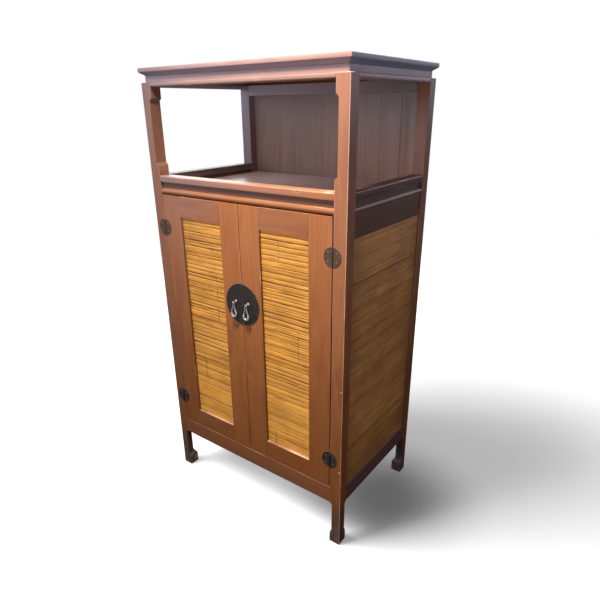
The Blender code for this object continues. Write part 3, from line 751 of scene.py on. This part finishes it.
for node, look in shapedSet.items():
    member = copyNode(node)
    low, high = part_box(node)
    if look["dent"]:
        cutRings(member, look["along"], arrisSet["ring"])
    roundArrises(member, look["radius"], look["dent"])
    power = shapedShare["postPower"] if look["along"] == 2 else 1.0
    spreadValue(member, "dust", look["along"], look.get("dust", (0.0, 0.0)), power)
    setValue(member, "rub", look.get("rub", 0.0))
    setValue(member, "polish", look.get("polish", 0.0))
    finishBoard(member, node, look["along"], look["tone"])
    tones, dusts = member.data.attributes["tone"].data, member.data.attributes["dust"].data
    if "waist" in look:      # painted shade: the set-back face over the bead is darker
        limit = low.z + shapedShare["beadHeight"]
        scaleValue(member, "tone", lambda at: look["waist"] if at.z > limit else 1.0)
    # painted shade: darker towards the top
    if "top" in look:
        spreadValue(member, "tone", 2, (look["tone"], look["tone"] * look["top"]), power)
    if "flank" in look:      # painted shade on the cabinet's side: lighter low down, darker upwards; dust and painted sheen only high up
        start, end = look["flank"]
        for index in pointsFacing(member, 0):
            share = member.data.vertices[index].co.z / high.z
            tones[index].value *= start + (end - start) * share
            dusts[index].value *= share ** shapedShare["flankPower"]
    if "cove" in look:       # dust and painted sheen: more on the moulded underside, nearly none on top
        tops = pointsFacing(member, 2)
        for point, value in zip(member.data.vertices, dusts):
            if point.co.z < (low.z + high.z) / 2:
                value.value = look["cove"]
            elif point.index in tops:
                value.value *= shapedShare["topDust"]
print("shaped members rounded")


# back of upright planks

plankSet = {
    "joints": (-0.238, -0.162, -0.029, 0.066, 0.160, 0.220, 0.300),
    "radius": 0.0012,
    "tone": (0.95, 1.04), "fall": 1.4, "fallFrom": 0.05,     # painted shade: darker to the right of here
}
low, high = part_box("back_boards")
edges = [low.x, *plankSet["joints"], high.x]
planks = []
for left, right in zip(edges, edges[1:]):
    plank = planeBoard((left, low.y, low.z), (right, high.y, high.z), 2, plankSet["radius"])
    setValue(plank, "seed", dice.uniform(0.0, 30.0))
    beyond = max(0.0, (left + right) / 2 - plankSet["fallFrom"])
    setValue(plank, "tone", dice.uniform(*plankSet["tone"]) * (1.0 - plankSet["fall"] * beyond))
    planks.append(plank)
finishPiece(joinAll(planks), "back_boards_planks", "back_boards", insideWood[2])
print("back planked")


# split bamboo panels

stripSet = {
    "thick": 0.0022,     # of a strip, in front of the backing board
    "proud": 0.0015, "rise": (-0.0003, 0.0006), "ripple": 0.0005,
    "shade": 0.0115,     # painted shadow: dark strip under the upper rail
    "shadeDark": 0.85,
    "cuts": 13,          # along a strip
    "bevel": 0.1,        # on the unit block
    "roundOver": 0.0042,  # of a strip's front arrises
    "roundShare": 0.28,  # of the strip's height, at most
    "fallOver": 0.0016,
    "wornFrom": (-0.45, -0.41),  # depth in the unit block where the dark edge starts, lower and upper edge; the lower edge darker, painted shade
    "wave": 0.0020, "waveRoom": 0.030,  # how far a crack wanders, height of strips that let it
    "crack": (0.0005, 0.0013),  # half width of common and of open cracks
    "openFrom": 0.0007, "common": 0.7,
    "broadBelow": 0.53,  # height under which the strips are broad
    "least": 0.008,      # height of the lowest strip
    # random strip tone; painted shade darkens the strips above this height
    "tone": (0.90, 1.08), "fallFrom": 0.7,
}
# painted shade on the side panels: darker low down and towards the frame
sideDirt = {"low": 0.72, "height": 0.16, "edge": 0.75, "reach": 0.07}
jointSet = {"width": 0.0030, "proud": 0.0004, "deep": 0.002, "radius": 0.0007, "dark": 0.85}
# the backing is as dark as the joints; through the cracks it shows as their painted shade
backingSet = {"radius": 0.0006, "tone": 0.8, "dark": 0.9}
# fall darkens strips upwards, painted shade; depth sets how dark the crack edges are, partly painted shade
doorLook = {"fall": 0.3, "depth": 1.0, "round": 0.7}
sideLook = {"strips": (0.012, 0.052), "broader": 1.3, "open": 0.12, "fall": 0.12, "depth": 0.6, "round": 0.1}
# strip heights, how much broader low down, share of open cracks; joints as place along, low and high Z
panelSet = {
    "right_door_bamboo": {
        **doorLook, "seed": 5, "strips": (0.007, 0.020), "broader": 3.5, "open": 0.3,
        "joints": [(0.157, 1.024, 1.107), (0.231, 0.687, 0.798), (0.124, 0.320, 0.380)]},
    "left_door_bamboo": {
        **doorLook, "seed": 8, "strips": (0.007, 0.026), "broader": 2.6, "open": 0.27,
        "joints": [(-0.129, 0.755, 0.929), (-0.220, 0.450, 0.608), (-0.245, 0.310, 0.368)]},
    "side_bamboo_right": {**sideLook, "seed": 2, "joints": [(0.025, 0.765, 0.830)]},
    "side_bamboo_left": {**sideLook, "seed": 4, "joints": [(-0.060, 0.520, 0.600)]},
}


def panelPlacer(node):
    low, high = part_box(node)
    if node.endswith("door_bamboo"):
        return 0, low, high, lambda u, depth, z: Vector((low.x + (high.x - low.x) * u, low.y + depth, z))
    if node.endswith("right"):
        return 1, low, high, lambda u, depth, z: Vector((high.x - depth, low.y + (high.y - low.y) * u, z))
    return 1, low, high, lambda u, depth, z: Vector((low.x + depth, high.y - (high.y - low.y) * u, z))


def modelStrip():
    strip = sawBlock((-0.5, -0.5, -0.5), (0.5, 0.5, 0.5))
    pickEdges(strip, runsAlong(0))
    bpy.ops.mesh.subdivide(number_cuts=stripSet["cuts"])
    editOff()
    bevelEdges(strip, lambda a, b: runsAlong(0)(a, b) and a.y < 0, stripSet["bevel"], 2)
    return strip


def crackLines(look, low, high):
    cast = random.Random(look["seed"])
    places = [high - stripSet["shade"]]
    while places[-1] > low + stripSet["least"]:
        broad = look["broader"] if places[-1] < stripSet["broadBelow"] else 1.0
        places.append(places[-1] - cast.uniform(*look["strips"]) * broad)
    places.pop()
    edges = [high] + places + [low]
    lines = [[high, 0.0, 0.0, 0.0]]      # Z, half width, wander, seed
    for above, z, below in zip(edges, places, edges[2:]):
        wide = stripSet["crack"][cast.random() < look["open"]] * dice.uniform(0.8, 1.3)
        wander = min(1.0, min(above - z, z - below) / stripSet["waveRoom"])
        lines.append([z, wide, wander, dice.uniform(0.0, 90.0)])
    return lines + [[low, 0.0, 0.0, 0.0]]


def crackAt(line, u):
    z, wide, wander, seed = line
    drift = noise.noise(Vector((u * 1.6, seed, 0.0))) + 0.35 * noise.noise(Vector((u * 6.0, seed, 7.0)))
    gape = 0.45 + 1.3 * abs(noise.noise(Vector((u * 4.0, seed, 3.0))))
    return z + stripSet["wave"] * wander * drift, wide * gape


def placeStrip(template, look, panel, lines, row):
    along, low, high, placer = panel
    strip = bpy.data.objects.new("strip", template.data.copy())
    scene.collection.objects.link(strip)
    top, bottom = lines[row], lines[row + 1]
    rise = dice.uniform(*stripSet["rise"])
    seed = dice.uniform(0.0, 90.0)
    roundOver = min(stripSet["roundOver"], stripSet["roundShare"] * (top[0] - bottom[0]))
    worn = []
    for point in strip.data.vertices:
        u, depth, side = point.co.x + 0.5, point.co.y, point.co.z
        line = top if side > 0 else bottom
        z, wide = crackAt(line, u)
        edge = z - math.copysign(wide + (0.5 - abs(side)) / stripSet["bevel"] * roundOver, side)
        if depth < 0:
            fall = (depth + 0.5) / stripSet["bevel"] * stripSet["fallOver"] * look["round"]
            sink = fall - stripSet["proud"] - rise
            sink += stripSet["ripple"] * noise.noise(Vector((u * 3.0, seed, side)))
            # the lower edge is darkened further up its rounding: painted shade
            hidden = depth > stripSet["wornFrom"][side > 0 and along == 0]
            dark = 1.0 if line[1] > stripSet["openFrom"] else stripSet["common"]
            worn.append(look["depth"] * dark if hidden else 0.0)
        else:
            sink = stripSet["thick"]
            worn.append(1.0)
        point.co = placer(u, sink, edge)
    # painted shadow: the top strip is dark under the upper rail
    if row == 0 and along == 0:
        worn = [stripSet["shadeDark"]] * len(worn)
    writeValues(strip, "wear", worn)
    setValue(strip, "seed", seed)
    height = (top[0] + bottom[0]) / 2
    # painted shade: darker upwards
    tone = dice.uniform(*stripSet["tone"]) * (1.0 + look["fall"] * (stripSet["fallFrom"] - height))
    tones = [tone] * len(worn)
    if along == 1:       # painted shade: darker low down and towards the frame
        tone *= sideDirt["low"] + (1 - sideDirt["low"]) * min(1.0, (height - low.z) / sideDirt["height"])
        near = [min(abs(low.y - point.co.y), abs(high.y - point.co.y)) for point in strip.data.vertices]
        tones = [tone * (sideDirt["edge"] + (1 - sideDirt["edge"]) * min(1.0, away / sideDirt["reach"]))
                 for away in near]
    writeValues(strip, "tone", tones)
    return strip


def boxBetween(first, second):
    return [min(pair) for pair in zip(first, second)], [max(pair) for pair in zip(first, second)]


def placeJoint(node, panel, lines, row, place):
    along, low, high, placer = panel
    length = (high - low)[along]
    u = (place - low[along]) / length
    u = 1 - u if node.endswith("left") else u
    half = jointSet["width"] / 2 / length
    top, bottom = crackAt(lines[row], u), crackAt(lines[row + 1], u)
    start = placer(u - half, -stripSet["proud"] - jointSet["proud"], top[0] - top[1])
    end = placer(u + half, jointSet["deep"], bottom[0] + bottom[1])
    bar = sawBlock(*boxBetween(start, end))
    bevelEdges(bar, runsAlong(2), jointSet["radius"], 2)
    setValue(bar, "joint", jointSet["dark"])
    setValue(bar, "tone", 1.0)
    return bar


stripTemplate = modelStrip()
for node, look in panelSet.items():
    panel = along, low, high, placer = panelPlacer(node)
    lines = crackLines(look, low.z, high.z)
    strips = []
    for row in range(len(lines) - 1):
        strips.append(placeStrip(stripTemplate, look, panel, lines, row))
        middle = (lines[row][0] + lines[row + 1][0]) / 2
        for place, jointLow, jointHigh in look["joints"]:
            if jointLow < middle < jointHigh:
                strips.append(placeJoint(node, panel, lines, row, place))
    finishPiece(joinAll(strips), node + "_strips", node, bambooAlong[along], 30)
    start, end = placer(0.0, stripSet["thick"], low.z), placer(1.0, (high - low)[1 - along], high.z)
    backing = planeBoard(*boxBetween(start, end), along, backingSet["radius"])
    setValue(backing, "seed", dice.uniform(0.0, 30.0))
    setValue(backing, "tone", backingSet["tone"])
    setValue(backing, "joint", backingSet["dark"])
    finishPiece(backing, node + "_backing", node, bambooAlong[along], 35, False)
bpy.data.objects.remove(stripTemplate, do_unlink=True)
print("bamboo panels laid")


# ironwork

def turnDisc(centre, radius, thick, sides, axis):
    bpy.ops.object.select_all(action="DESELECT")
    turn = (math.pi / 2, 0.0, 0.0) if axis == 1 else (0.0, 0.0, 0.0)
    bpy.ops.mesh.primitive_cylinder_add(vertices=sides, radius=radius, depth=thick,
                                        location=centre, rotation=turn)
    return settle(bpy.context.object)


def cutHalf(disc, x, outward):
    editOn(disc, "VERT", True)
    bpy.ops.mesh.bisect(plane_co=(x, 0.0, 0.0), plane_no=(outward, 0.0, 0.0), use_fill=True, clear_inner=True)
    bpy.ops.mesh.select_all(action="SELECT")
    bpy.ops.mesh.remove_doubles(threshold=0.00002)
    editOff()


plateShare = {"edge": 0.25, "step": 0.2, "worn": 0.9}     # of the rim's width; the pale worn rim also stands for a painted highlight


def forgePlate(centre, thick, look, cutX, outward):
    rim, sunk = look["rim"], look["sunk"]
    plate = turnDisc(centre, look["radius"], thick, look["sides"], 1)
    sharp = surfaceOf(plate)
    front = centre[1] - thick / 2
    bevelEdges(plate, lambda a, b: abs(a.y - front) < 1e-6 and abs(b.y - front) < 1e-6,
               rim * plateShare["edge"], 3)
    pickFaces(plate, lambda centre, normal: normal.y < -0.99)
    bpy.ops.mesh.inset(thickness=rim)
    bpy.ops.mesh.inset(thickness=rim * plateShare["step"])
    bpy.ops.transform.translate(value=(0.0, sunk, 0.0))
    editOff()
    cutHalf(plate, cutX, outward)
    worn = []
    for point in plate.data.vertices:
        rounded = sharp.find_nearest(point.co)[3] > 0.00002 and point.co.y < front + sunk * 0.5
        out = math.hypot(point.co.x - centre[0], point.co.z - centre[2])
        worn.append(1.0 if rounded and out > look["radius"] - rim * plateShare["worn"] else 0.0)
    writeValues(plate, "wear", worn)
    return plate


def driveNail(centre, radius):
    bpy.ops.object.select_all(action="DESELECT")
    bpy.ops.mesh.primitive_uv_sphere_add(segments=14, ring_count=8, radius=radius, location=centre)
    nail = bpy.context.object
    nail.scale.y = 0.42
    settle(nail)
    editOn(nail, "VERT", True)
    bpy.ops.mesh.bisect(plane_co=(0.0, centre[1] + radius * 0.1, 0.0), plane_no=(0.0, 1.0, 0.0),
                        use_fill=True, clear_outer=True)
    editOff()
    setValue(nail, "nail", 1.0)
    return nail


lockSet = {"radius": 0.075, "sides": 144, "rim": 0.0030, "sunk": 0.0004}
hingeSet = {"radius": 0.030, "sides": 96, "rim": 0.0026, "sunk": 0.0004, "axisX": 0.3645, "axisY": -0.2703,
            "barrelRadius": 0.003, "barrelSides": 28, "barrelEnd": 0.0005, "clear": 0.0005,
            "web": 0.0015, "webEdge": 0.0003,
            "knuckles": {"post": [(-0.022, -0.0074), (0.0074, 0.022)], "door": [(-0.0070, 0.0070)]},
            "nail": 0.0022, "nailRing": 0.0205, "nailAngles": (-42, 42),
            "rust": {"upper": 0.6, "lower": 0.08}}


def forgeLeaf(node, axisX, outward, knuckles, rust):
    look, axisY = hingeSet, hingeSet["axisY"]
    low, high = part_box(node)
    z = (low.z + high.z) / 2
    plateFront, plateBack = (corner.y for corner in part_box(node.split("_")[0] + "_lock_plate"))
    inner = axisX + outward * (look["barrelRadius"] + look["clear"])
    centre = (axisX, (plateBack + plateFront) / 2, z)
    pieces = [forgePlate(centre, plateBack - plateFront, look, inner, outward)]
    for start, end in knuckles:
        webs = sorted((axisX, inner + outward * look["web"]))
        web = sawBlock((webs[0], plateFront, z + start), (webs[1], plateBack, z + end))
        bevelEdges(web, runsAlong(2), look["webEdge"], 1)
        middle = (axisX, axisY, z + (start + end) / 2)
        barrel = turnDisc(middle, look["barrelRadius"], end - start, look["barrelSides"], 2)
        bevelEdges(barrel, lambda a, b: abs(a.z - b.z) < 1e-6, look["barrelEnd"], 2)
        pieces += [web, barrel]
    for angle in look["nailAngles"]:
        x = axisX + outward * look["nailRing"] * math.cos(math.radians(angle))
        nailZ = z + look["nailRing"] * math.sin(math.radians(angle))
        pieces.append(driveNail((x, plateFront + look["sunk"], nailZ), look["nail"]))
    leaf = joinAll(pieces)
    setValue(leaf, "rust", rust)
    finishPiece(leaf, node + "_forged", node, blackIron, 25)


for side, outward in (("left", -1), ("right", 1)):
    node = f"{side}_lock_plate"
    low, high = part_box(node)
    centre = (0.0, (low.y + high.y) / 2, (low.z + high.z) / 2)
    inner = low.x if outward > 0 else high.x
    plate = forgePlate(centre, high.y - low.y, lockSet, inner, outward)
    finishPiece(plate, node + "_forged", node, blackIron, 25)
for side, outward in (("left", -1), ("right", 1)):
    for place, rust in hingeSet["rust"].items():
        for owner, way in (("post", outward), ("door", -outward)):
            forgeLeaf(f"{side}_{place}_hinge_{owner}_leaf", outward * hingeSet["axisX"], way,
                      hingeSet["knuckles"][owner], rust)
print("plates and hinges forged")


# staples and drop pulls

pullSet = {
    "eyeX": 0.028, "eyeY": -0.2836, "eyeZ": 0.8555, "eyeRadius": 0.0034, "eyeWire": 0.0012,
    "shank": 0.0022, "shankEnd": 0.0007, "collar": 0.0058, "collarThick": 0.0014, "collarEnd": 0.0009,
    "neck": 0.0034, "neckLength": 0.012, "width": 0.0205, "drop": 0.0525, "wire": 0.0014, "weight": 0.0040,
}


def forgeStaple(side, outward):
    look = pullSet
    node = f"{side}_pull_staple"
    x, z = outward * look["eyeX"], look["eyeZ"]
    start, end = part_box(node)[1].y, look["eyeY"] + look["eyeRadius"]

    def front(a, b):
        return abs(a.y - b.y) < 1e-6 and a.y < start - 1e-4

    shank = turnDisc((x, (start + end) / 2, z), look["shank"], start - end, 28, 1)
    bevelEdges(shank, front, look["shankEnd"], 3)
    collar = turnDisc((x, start - look["collarThick"] / 2, z), look["collar"], look["collarThick"], 36, 1)
    bevelEdges(collar, front, look["collarEnd"], 3)
    bpy.ops.object.select_all(action="DESELECT")
    bpy.ops.mesh.primitive_torus_add(location=(x, look["eyeY"], z), rotation=(0.0, math.pi / 2, 0.0),
                                     major_radius=look["eyeRadius"], minor_radius=look["eyeWire"],
                                     major_segments=36, minor_segments=14)
    eye = settle(bpy.context.object)
    finishPiece(joinAll([shank, collar, eye]), node + "_forged", node, wornIron, 45)


def pullLine():
    look = pullSet
    roundR, beltZ = look["width"] / 2, look["width"] / 2 - look["drop"]
    line = []
    for i in range(9):
        turn = math.radians(90 - 90 * i / 8)
        line.append((look["neck"] * math.cos(turn), look["neck"] * (math.sin(turn) - 1), look["wire"]))
    for i in range(15):
        t = i / 14
        swing = (1 - math.cos(math.pi * t)) / 2
        z = -look["neckLength"] + (beltZ + look["neckLength"]) * t
        thick = look["wire"] + (look["weight"] - look["wire"]) * t * t
        line.append((look["neck"] + (roundR - look["neck"]) * swing, z, thick))
    for i in range(1, 11):
        turn = math.radians(-90 * i / 10)
        line.append((roundR * math.cos(turn), beltZ + roundR * math.sin(turn), look["weight"]))
    return line + [(-x, z, thick) for x, z, thick in reversed(line[1:-1])]


def forgePull(side, outward):
    look = pullSet
    node = f"{side}_pull"
    curve = bpy.data.curves.new("pullWire", "CURVE")
    curve.dimensions, curve.bevel_depth, curve.bevel_resolution = "3D", 1.0, 5
    line = pullLine()
    spline = curve.splines.new("POLY")
    spline.points.add(len(line) - 1)
    for point, (x, z, thick) in zip(spline.points, line):
        point.co = (x + outward * look["eyeX"], look["eyeY"], z + look["eyeZ"], 1.0)
        point.radius = thick
    spline.use_cyclic_u = True
    pull = bpy.data.objects.new("pull", curve)
    scene.collection.objects.link(pull)
    pickOnly(pull)
    bpy.ops.object.convert(target="MESH")
    finishPiece(bpy.context.object, node + "_forged", node, wornIron, 60)


for side, outward in (("left", -1), ("right", 1)):
    forgeStaple(side, outward)
    forgePull(side, outward)
print("staples and pulls forged")


# floor, light and camera

# glow: painted light, the floor glows for the camera from 0.11 near the cabinet to 0.44 further off, lifting
# its shadow
stageSet = {
    "size": 16.0, "white": 1.04, "fadeFrom": 2.6, "fadeTo": 4.0, "bounce": 0.0072, "gloss": 0.0009,
    "glow": (0.11, 0.44), "glowReach": (0.04, 0.46), "glowFrom": (0.42, 0.06, 0.0),
}
skySet = {  # glows round the horizon: direction, colour, Z where it starts, is full and ends, spread
    "front": {"to": (-0.70, -0.71, 0.0), "glow": (0.50, 0.50, 0.58),
              "rise": (-0.16, 0.0, 0.45), "spread": 0.1},
    "window": {"to": (-0.66, -0.75, 0.0), "glow": (3.20, 3.40, 4.30),
               "rise": (0.0, 0.12, 0.30), "spread": 0.5},
    "back": {"to": (0.44, 0.90, 0.0), "glow": (1.50, 1.55, 2.00),
             "rise": (-0.01, 0.11, 0.40), "spread": 0.5},
    "under": {"to": (0.71, -0.71, 0.0), "glow": (0.90, 0.92, 1.10),
              "rise": (-0.5, -0.3, -0.12), "spread": -0.1},
    "left": {"to": (-0.72, 0.69, 0.0), "glow": (2.40, 2.35, 2.30),
             "rise": (-0.10, 0.02, 0.60), "spread": 0.4},
}
skySoft, skyFull = 0.15, 0.95
skyDim = (0.095, 0.085, 0.085)
lampSet = {
    "key": {"kind": "SPOT", "at": (0.28, -0.98, 2.75), "to": (0.38, -0.28, 0.88), "size": 0.2, "power": 365.0,
            "colour": (1.0, 0.93, 0.84), "cone": 80},
    "side": {"kind": "AREA", "at": (-2.25, -2.22, 4.66), "to": (0.0, 0.0, 0.4), "size": 2.96, "power": 6000.0,
             "colour": (1.0, 1.0, 1.0)},
    "niche": {"kind": "AREA", "at": (0.0, -0.95, 1.42), "to": (0.0, 0.2, 1.40), "size": 0.5, "power": 6.5,
              "colour": (0.88, 0.94, 1.0)},
    "corner": {"kind": "AREA", "at": (0.31, 0.08, 1.24), "to": (0.35, 0.30, 1.23), "size": 0.12,
               "power": 0.20, "colour": (1.0, 0.45, 0.20)},
    "shelf": {"kind": "AREA", "at": (-0.24, -0.05, 1.52), "to": (-0.24, 0.1, 1.22), "size": 0.3,
              "power": 1.4, "colour": (1.0, 0.95, 0.88)},
}
bpy.ops.object.select_all(action="DESELECT")
bpy.ops.mesh.primitive_plane_add(size=stageSet["size"], location=(0.0, 0.0, 0.0))
floor = bpy.context.object
floor.name = "paleFloor"
paper = bpy.data.materials.new("paperFloor")
paper.use_nodes = True
tree = paper.node_tree
tree.nodes.clear()
place = addNode(tree, "ShaderNodeTexCoord").outputs["Object"]
path = addNode(tree, "ShaderNodeLightPath").outputs
lampAt, lampTo = Vector(lampSet["side"]["at"]), Vector(lampSet["side"]["to"])
ray = vectors(tree, "SUBTRACT", place, tuple(lampAt))
away = vectors(tree, "LENGTH", ray)
aimed = vectors(tree, "DOT_PRODUCT", ray, tuple((lampTo - lampAt).normalized()))
even = maths(tree, "DIVIDE", maths(tree, "POWER", away, 4.0), maths(tree, "MAXIMUM", aimed, 0.3))
even = times(tree, even, stageSet["white"] * math.pi ** 2 / lampSet["side"]["power"] / lampAt.z)
level = grey(tree, maths(tree, "MINIMUM", even, 40.0))
white = addNode(tree, "ShaderNodeBsdfDiffuse")
shade = tint(tree, path["Is Camera Ray"], (stageSet["bounce"],) * 3, level)
shade = tint(tree, path["Is Glossy Ray"], shade, (stageSet["gloss"],) * 3)
plug(tree, white.inputs["Color"], shade)
# painted light: the floor glows for the camera, more away from the cabinet
shine = addNode(tree, "ShaderNodeEmission")
beside = vectors(tree, "DISTANCE", place, stageSet["glowFrom"])
brighter = fade(tree, beside, *stageSet["glowReach"], *stageSet["glow"])
plug(tree, shine.inputs["Strength"], times(tree, path["Is Camera Ray"], brighter))
lit = addNode(tree, "ShaderNodeAddShader")
plug(tree, lit.inputs[0], white.outputs[0])
plug(tree, lit.inputs[1], shine.outputs[0])
clear = addNode(tree, "ShaderNodeBsdfTransparent")
mixed = addNode(tree, "ShaderNodeMixShader")
far = fade(tree, vectors(tree, "LENGTH", place), stageSet["fadeFrom"], stageSet["fadeTo"])
plug(tree, mixed.inputs[0], far)
plug(tree, mixed.inputs[1], lit.outputs[0])
plug(tree, mixed.inputs[2], clear.outputs[0])
plug(tree, addNode(tree, "ShaderNodeOutputMaterial").inputs["Surface"], mixed.outputs[0])
floor.data.materials.append(paper)

sky = bpy.data.worlds.new("studioSky")
scene.world = sky
sky.use_nodes = True
tree = sky.node_tree
tree.nodes.clear()
direction = addNode(tree, "ShaderNodeTexCoord").outputs["Generated"]
rise = heightOf(tree, direction)
glow = skyDim
for look in skySet.values():
    facing = fade(tree, vectors(tree, "DOT_PRODUCT", direction, look["to"]), look["spread"], skyFull)
    low, level, high = look["rise"]
    band = times(tree, fade(tree, rise, low, level), fade(tree, rise, high + skySoft, high - skySoft))
    glow = tint(tree, times(tree, facing, band), glow, look["glow"])
glow = tint(tree, addNode(tree, "ShaderNodeLightPath").outputs["Is Camera Ray"], glow, (1.0, 1.0, 1.0))
background = addNode(tree, "ShaderNodeBackground")
plug(tree, background.inputs["Color"], glow)
plug(tree, addNode(tree, "ShaderNodeOutputWorld").inputs["Surface"], background.outputs[0])

nicheNodes = ("back_boards_planks", "shelf_panel_planed", "shelf_rail_back_planed", "top_rail_back_planed")
lampReach = {"key": ("EXCLUDE", ["paleFloor", "shelf_rail_left_planed"]), "side": ("INCLUDE", ["paleFloor"]),
             "niche": ("INCLUDE", nicheNodes), "corner": ("INCLUDE", ["back_boards_planks"]),
             "shelf": ("INCLUDE", ["shelf_panel_planed", "shelf_rail_back_planed"])}
for name, look in lampSet.items():
    bpy.ops.object.light_add(type=look["kind"], location=look["at"])
    lamp = bpy.context.object
    lamp.name = name + "Lamp"
    lamp.data.energy, lamp.data.color = look["power"], look["colour"]
    if look["kind"] == "SPOT":
        lamp.data.shadow_soft_size, lamp.data.spot_blend = look["size"], 1.0
        lamp.data.spot_size = math.radians(look["cone"])
    else:
        lamp.data.size = look["size"]
    lamp.rotation_euler = (Vector(look["to"]) - Vector(look["at"])).to_track_quat("-Z", "Y").to_euler()
    reach = bpy.data.collections.new(name + "Reach")
    for lit in lampReach[name][1]:
        reach.objects.link(bpy.data.objects[lit])
    for member in reach.collection_objects:
        member.light_linking.link_state = lampReach[name][0]
    lamp.light_linking.receiver_collection = reach
    if name == "key":
        passed = bpy.data.collections.new("keyPasses")      # boards that throw no shade on the bamboo
        for side in ("left", "right"):
            passed.objects.link(bpy.data.objects[side + "_door_top_rail_planed"])
        for member in passed.collection_objects:
            member.light_linking.link_state = "EXCLUDE"
        lamp.light_linking.blocker_collection = passed

cameraSet = {"at": (1.133604, -1.461999, 1.477548), "turn": (67.46756, 0.66437, 36.62281), "lens": 30.5135,
             "sensor": 36.0, "shift": (0.003793, 0.02842)}
bpy.ops.object.camera_add(location=cameraSet["at"],
                          rotation=[math.radians(angle) for angle in cameraSet["turn"]])
camera = bpy.context.object
camera.data.lens, camera.data.sensor_width = cameraSet["lens"], cameraSet["sensor"]
camera.data.shift_x, camera.data.shift_y = cameraSet["shift"]
scene.camera = camera
print("floor, light and camera set")
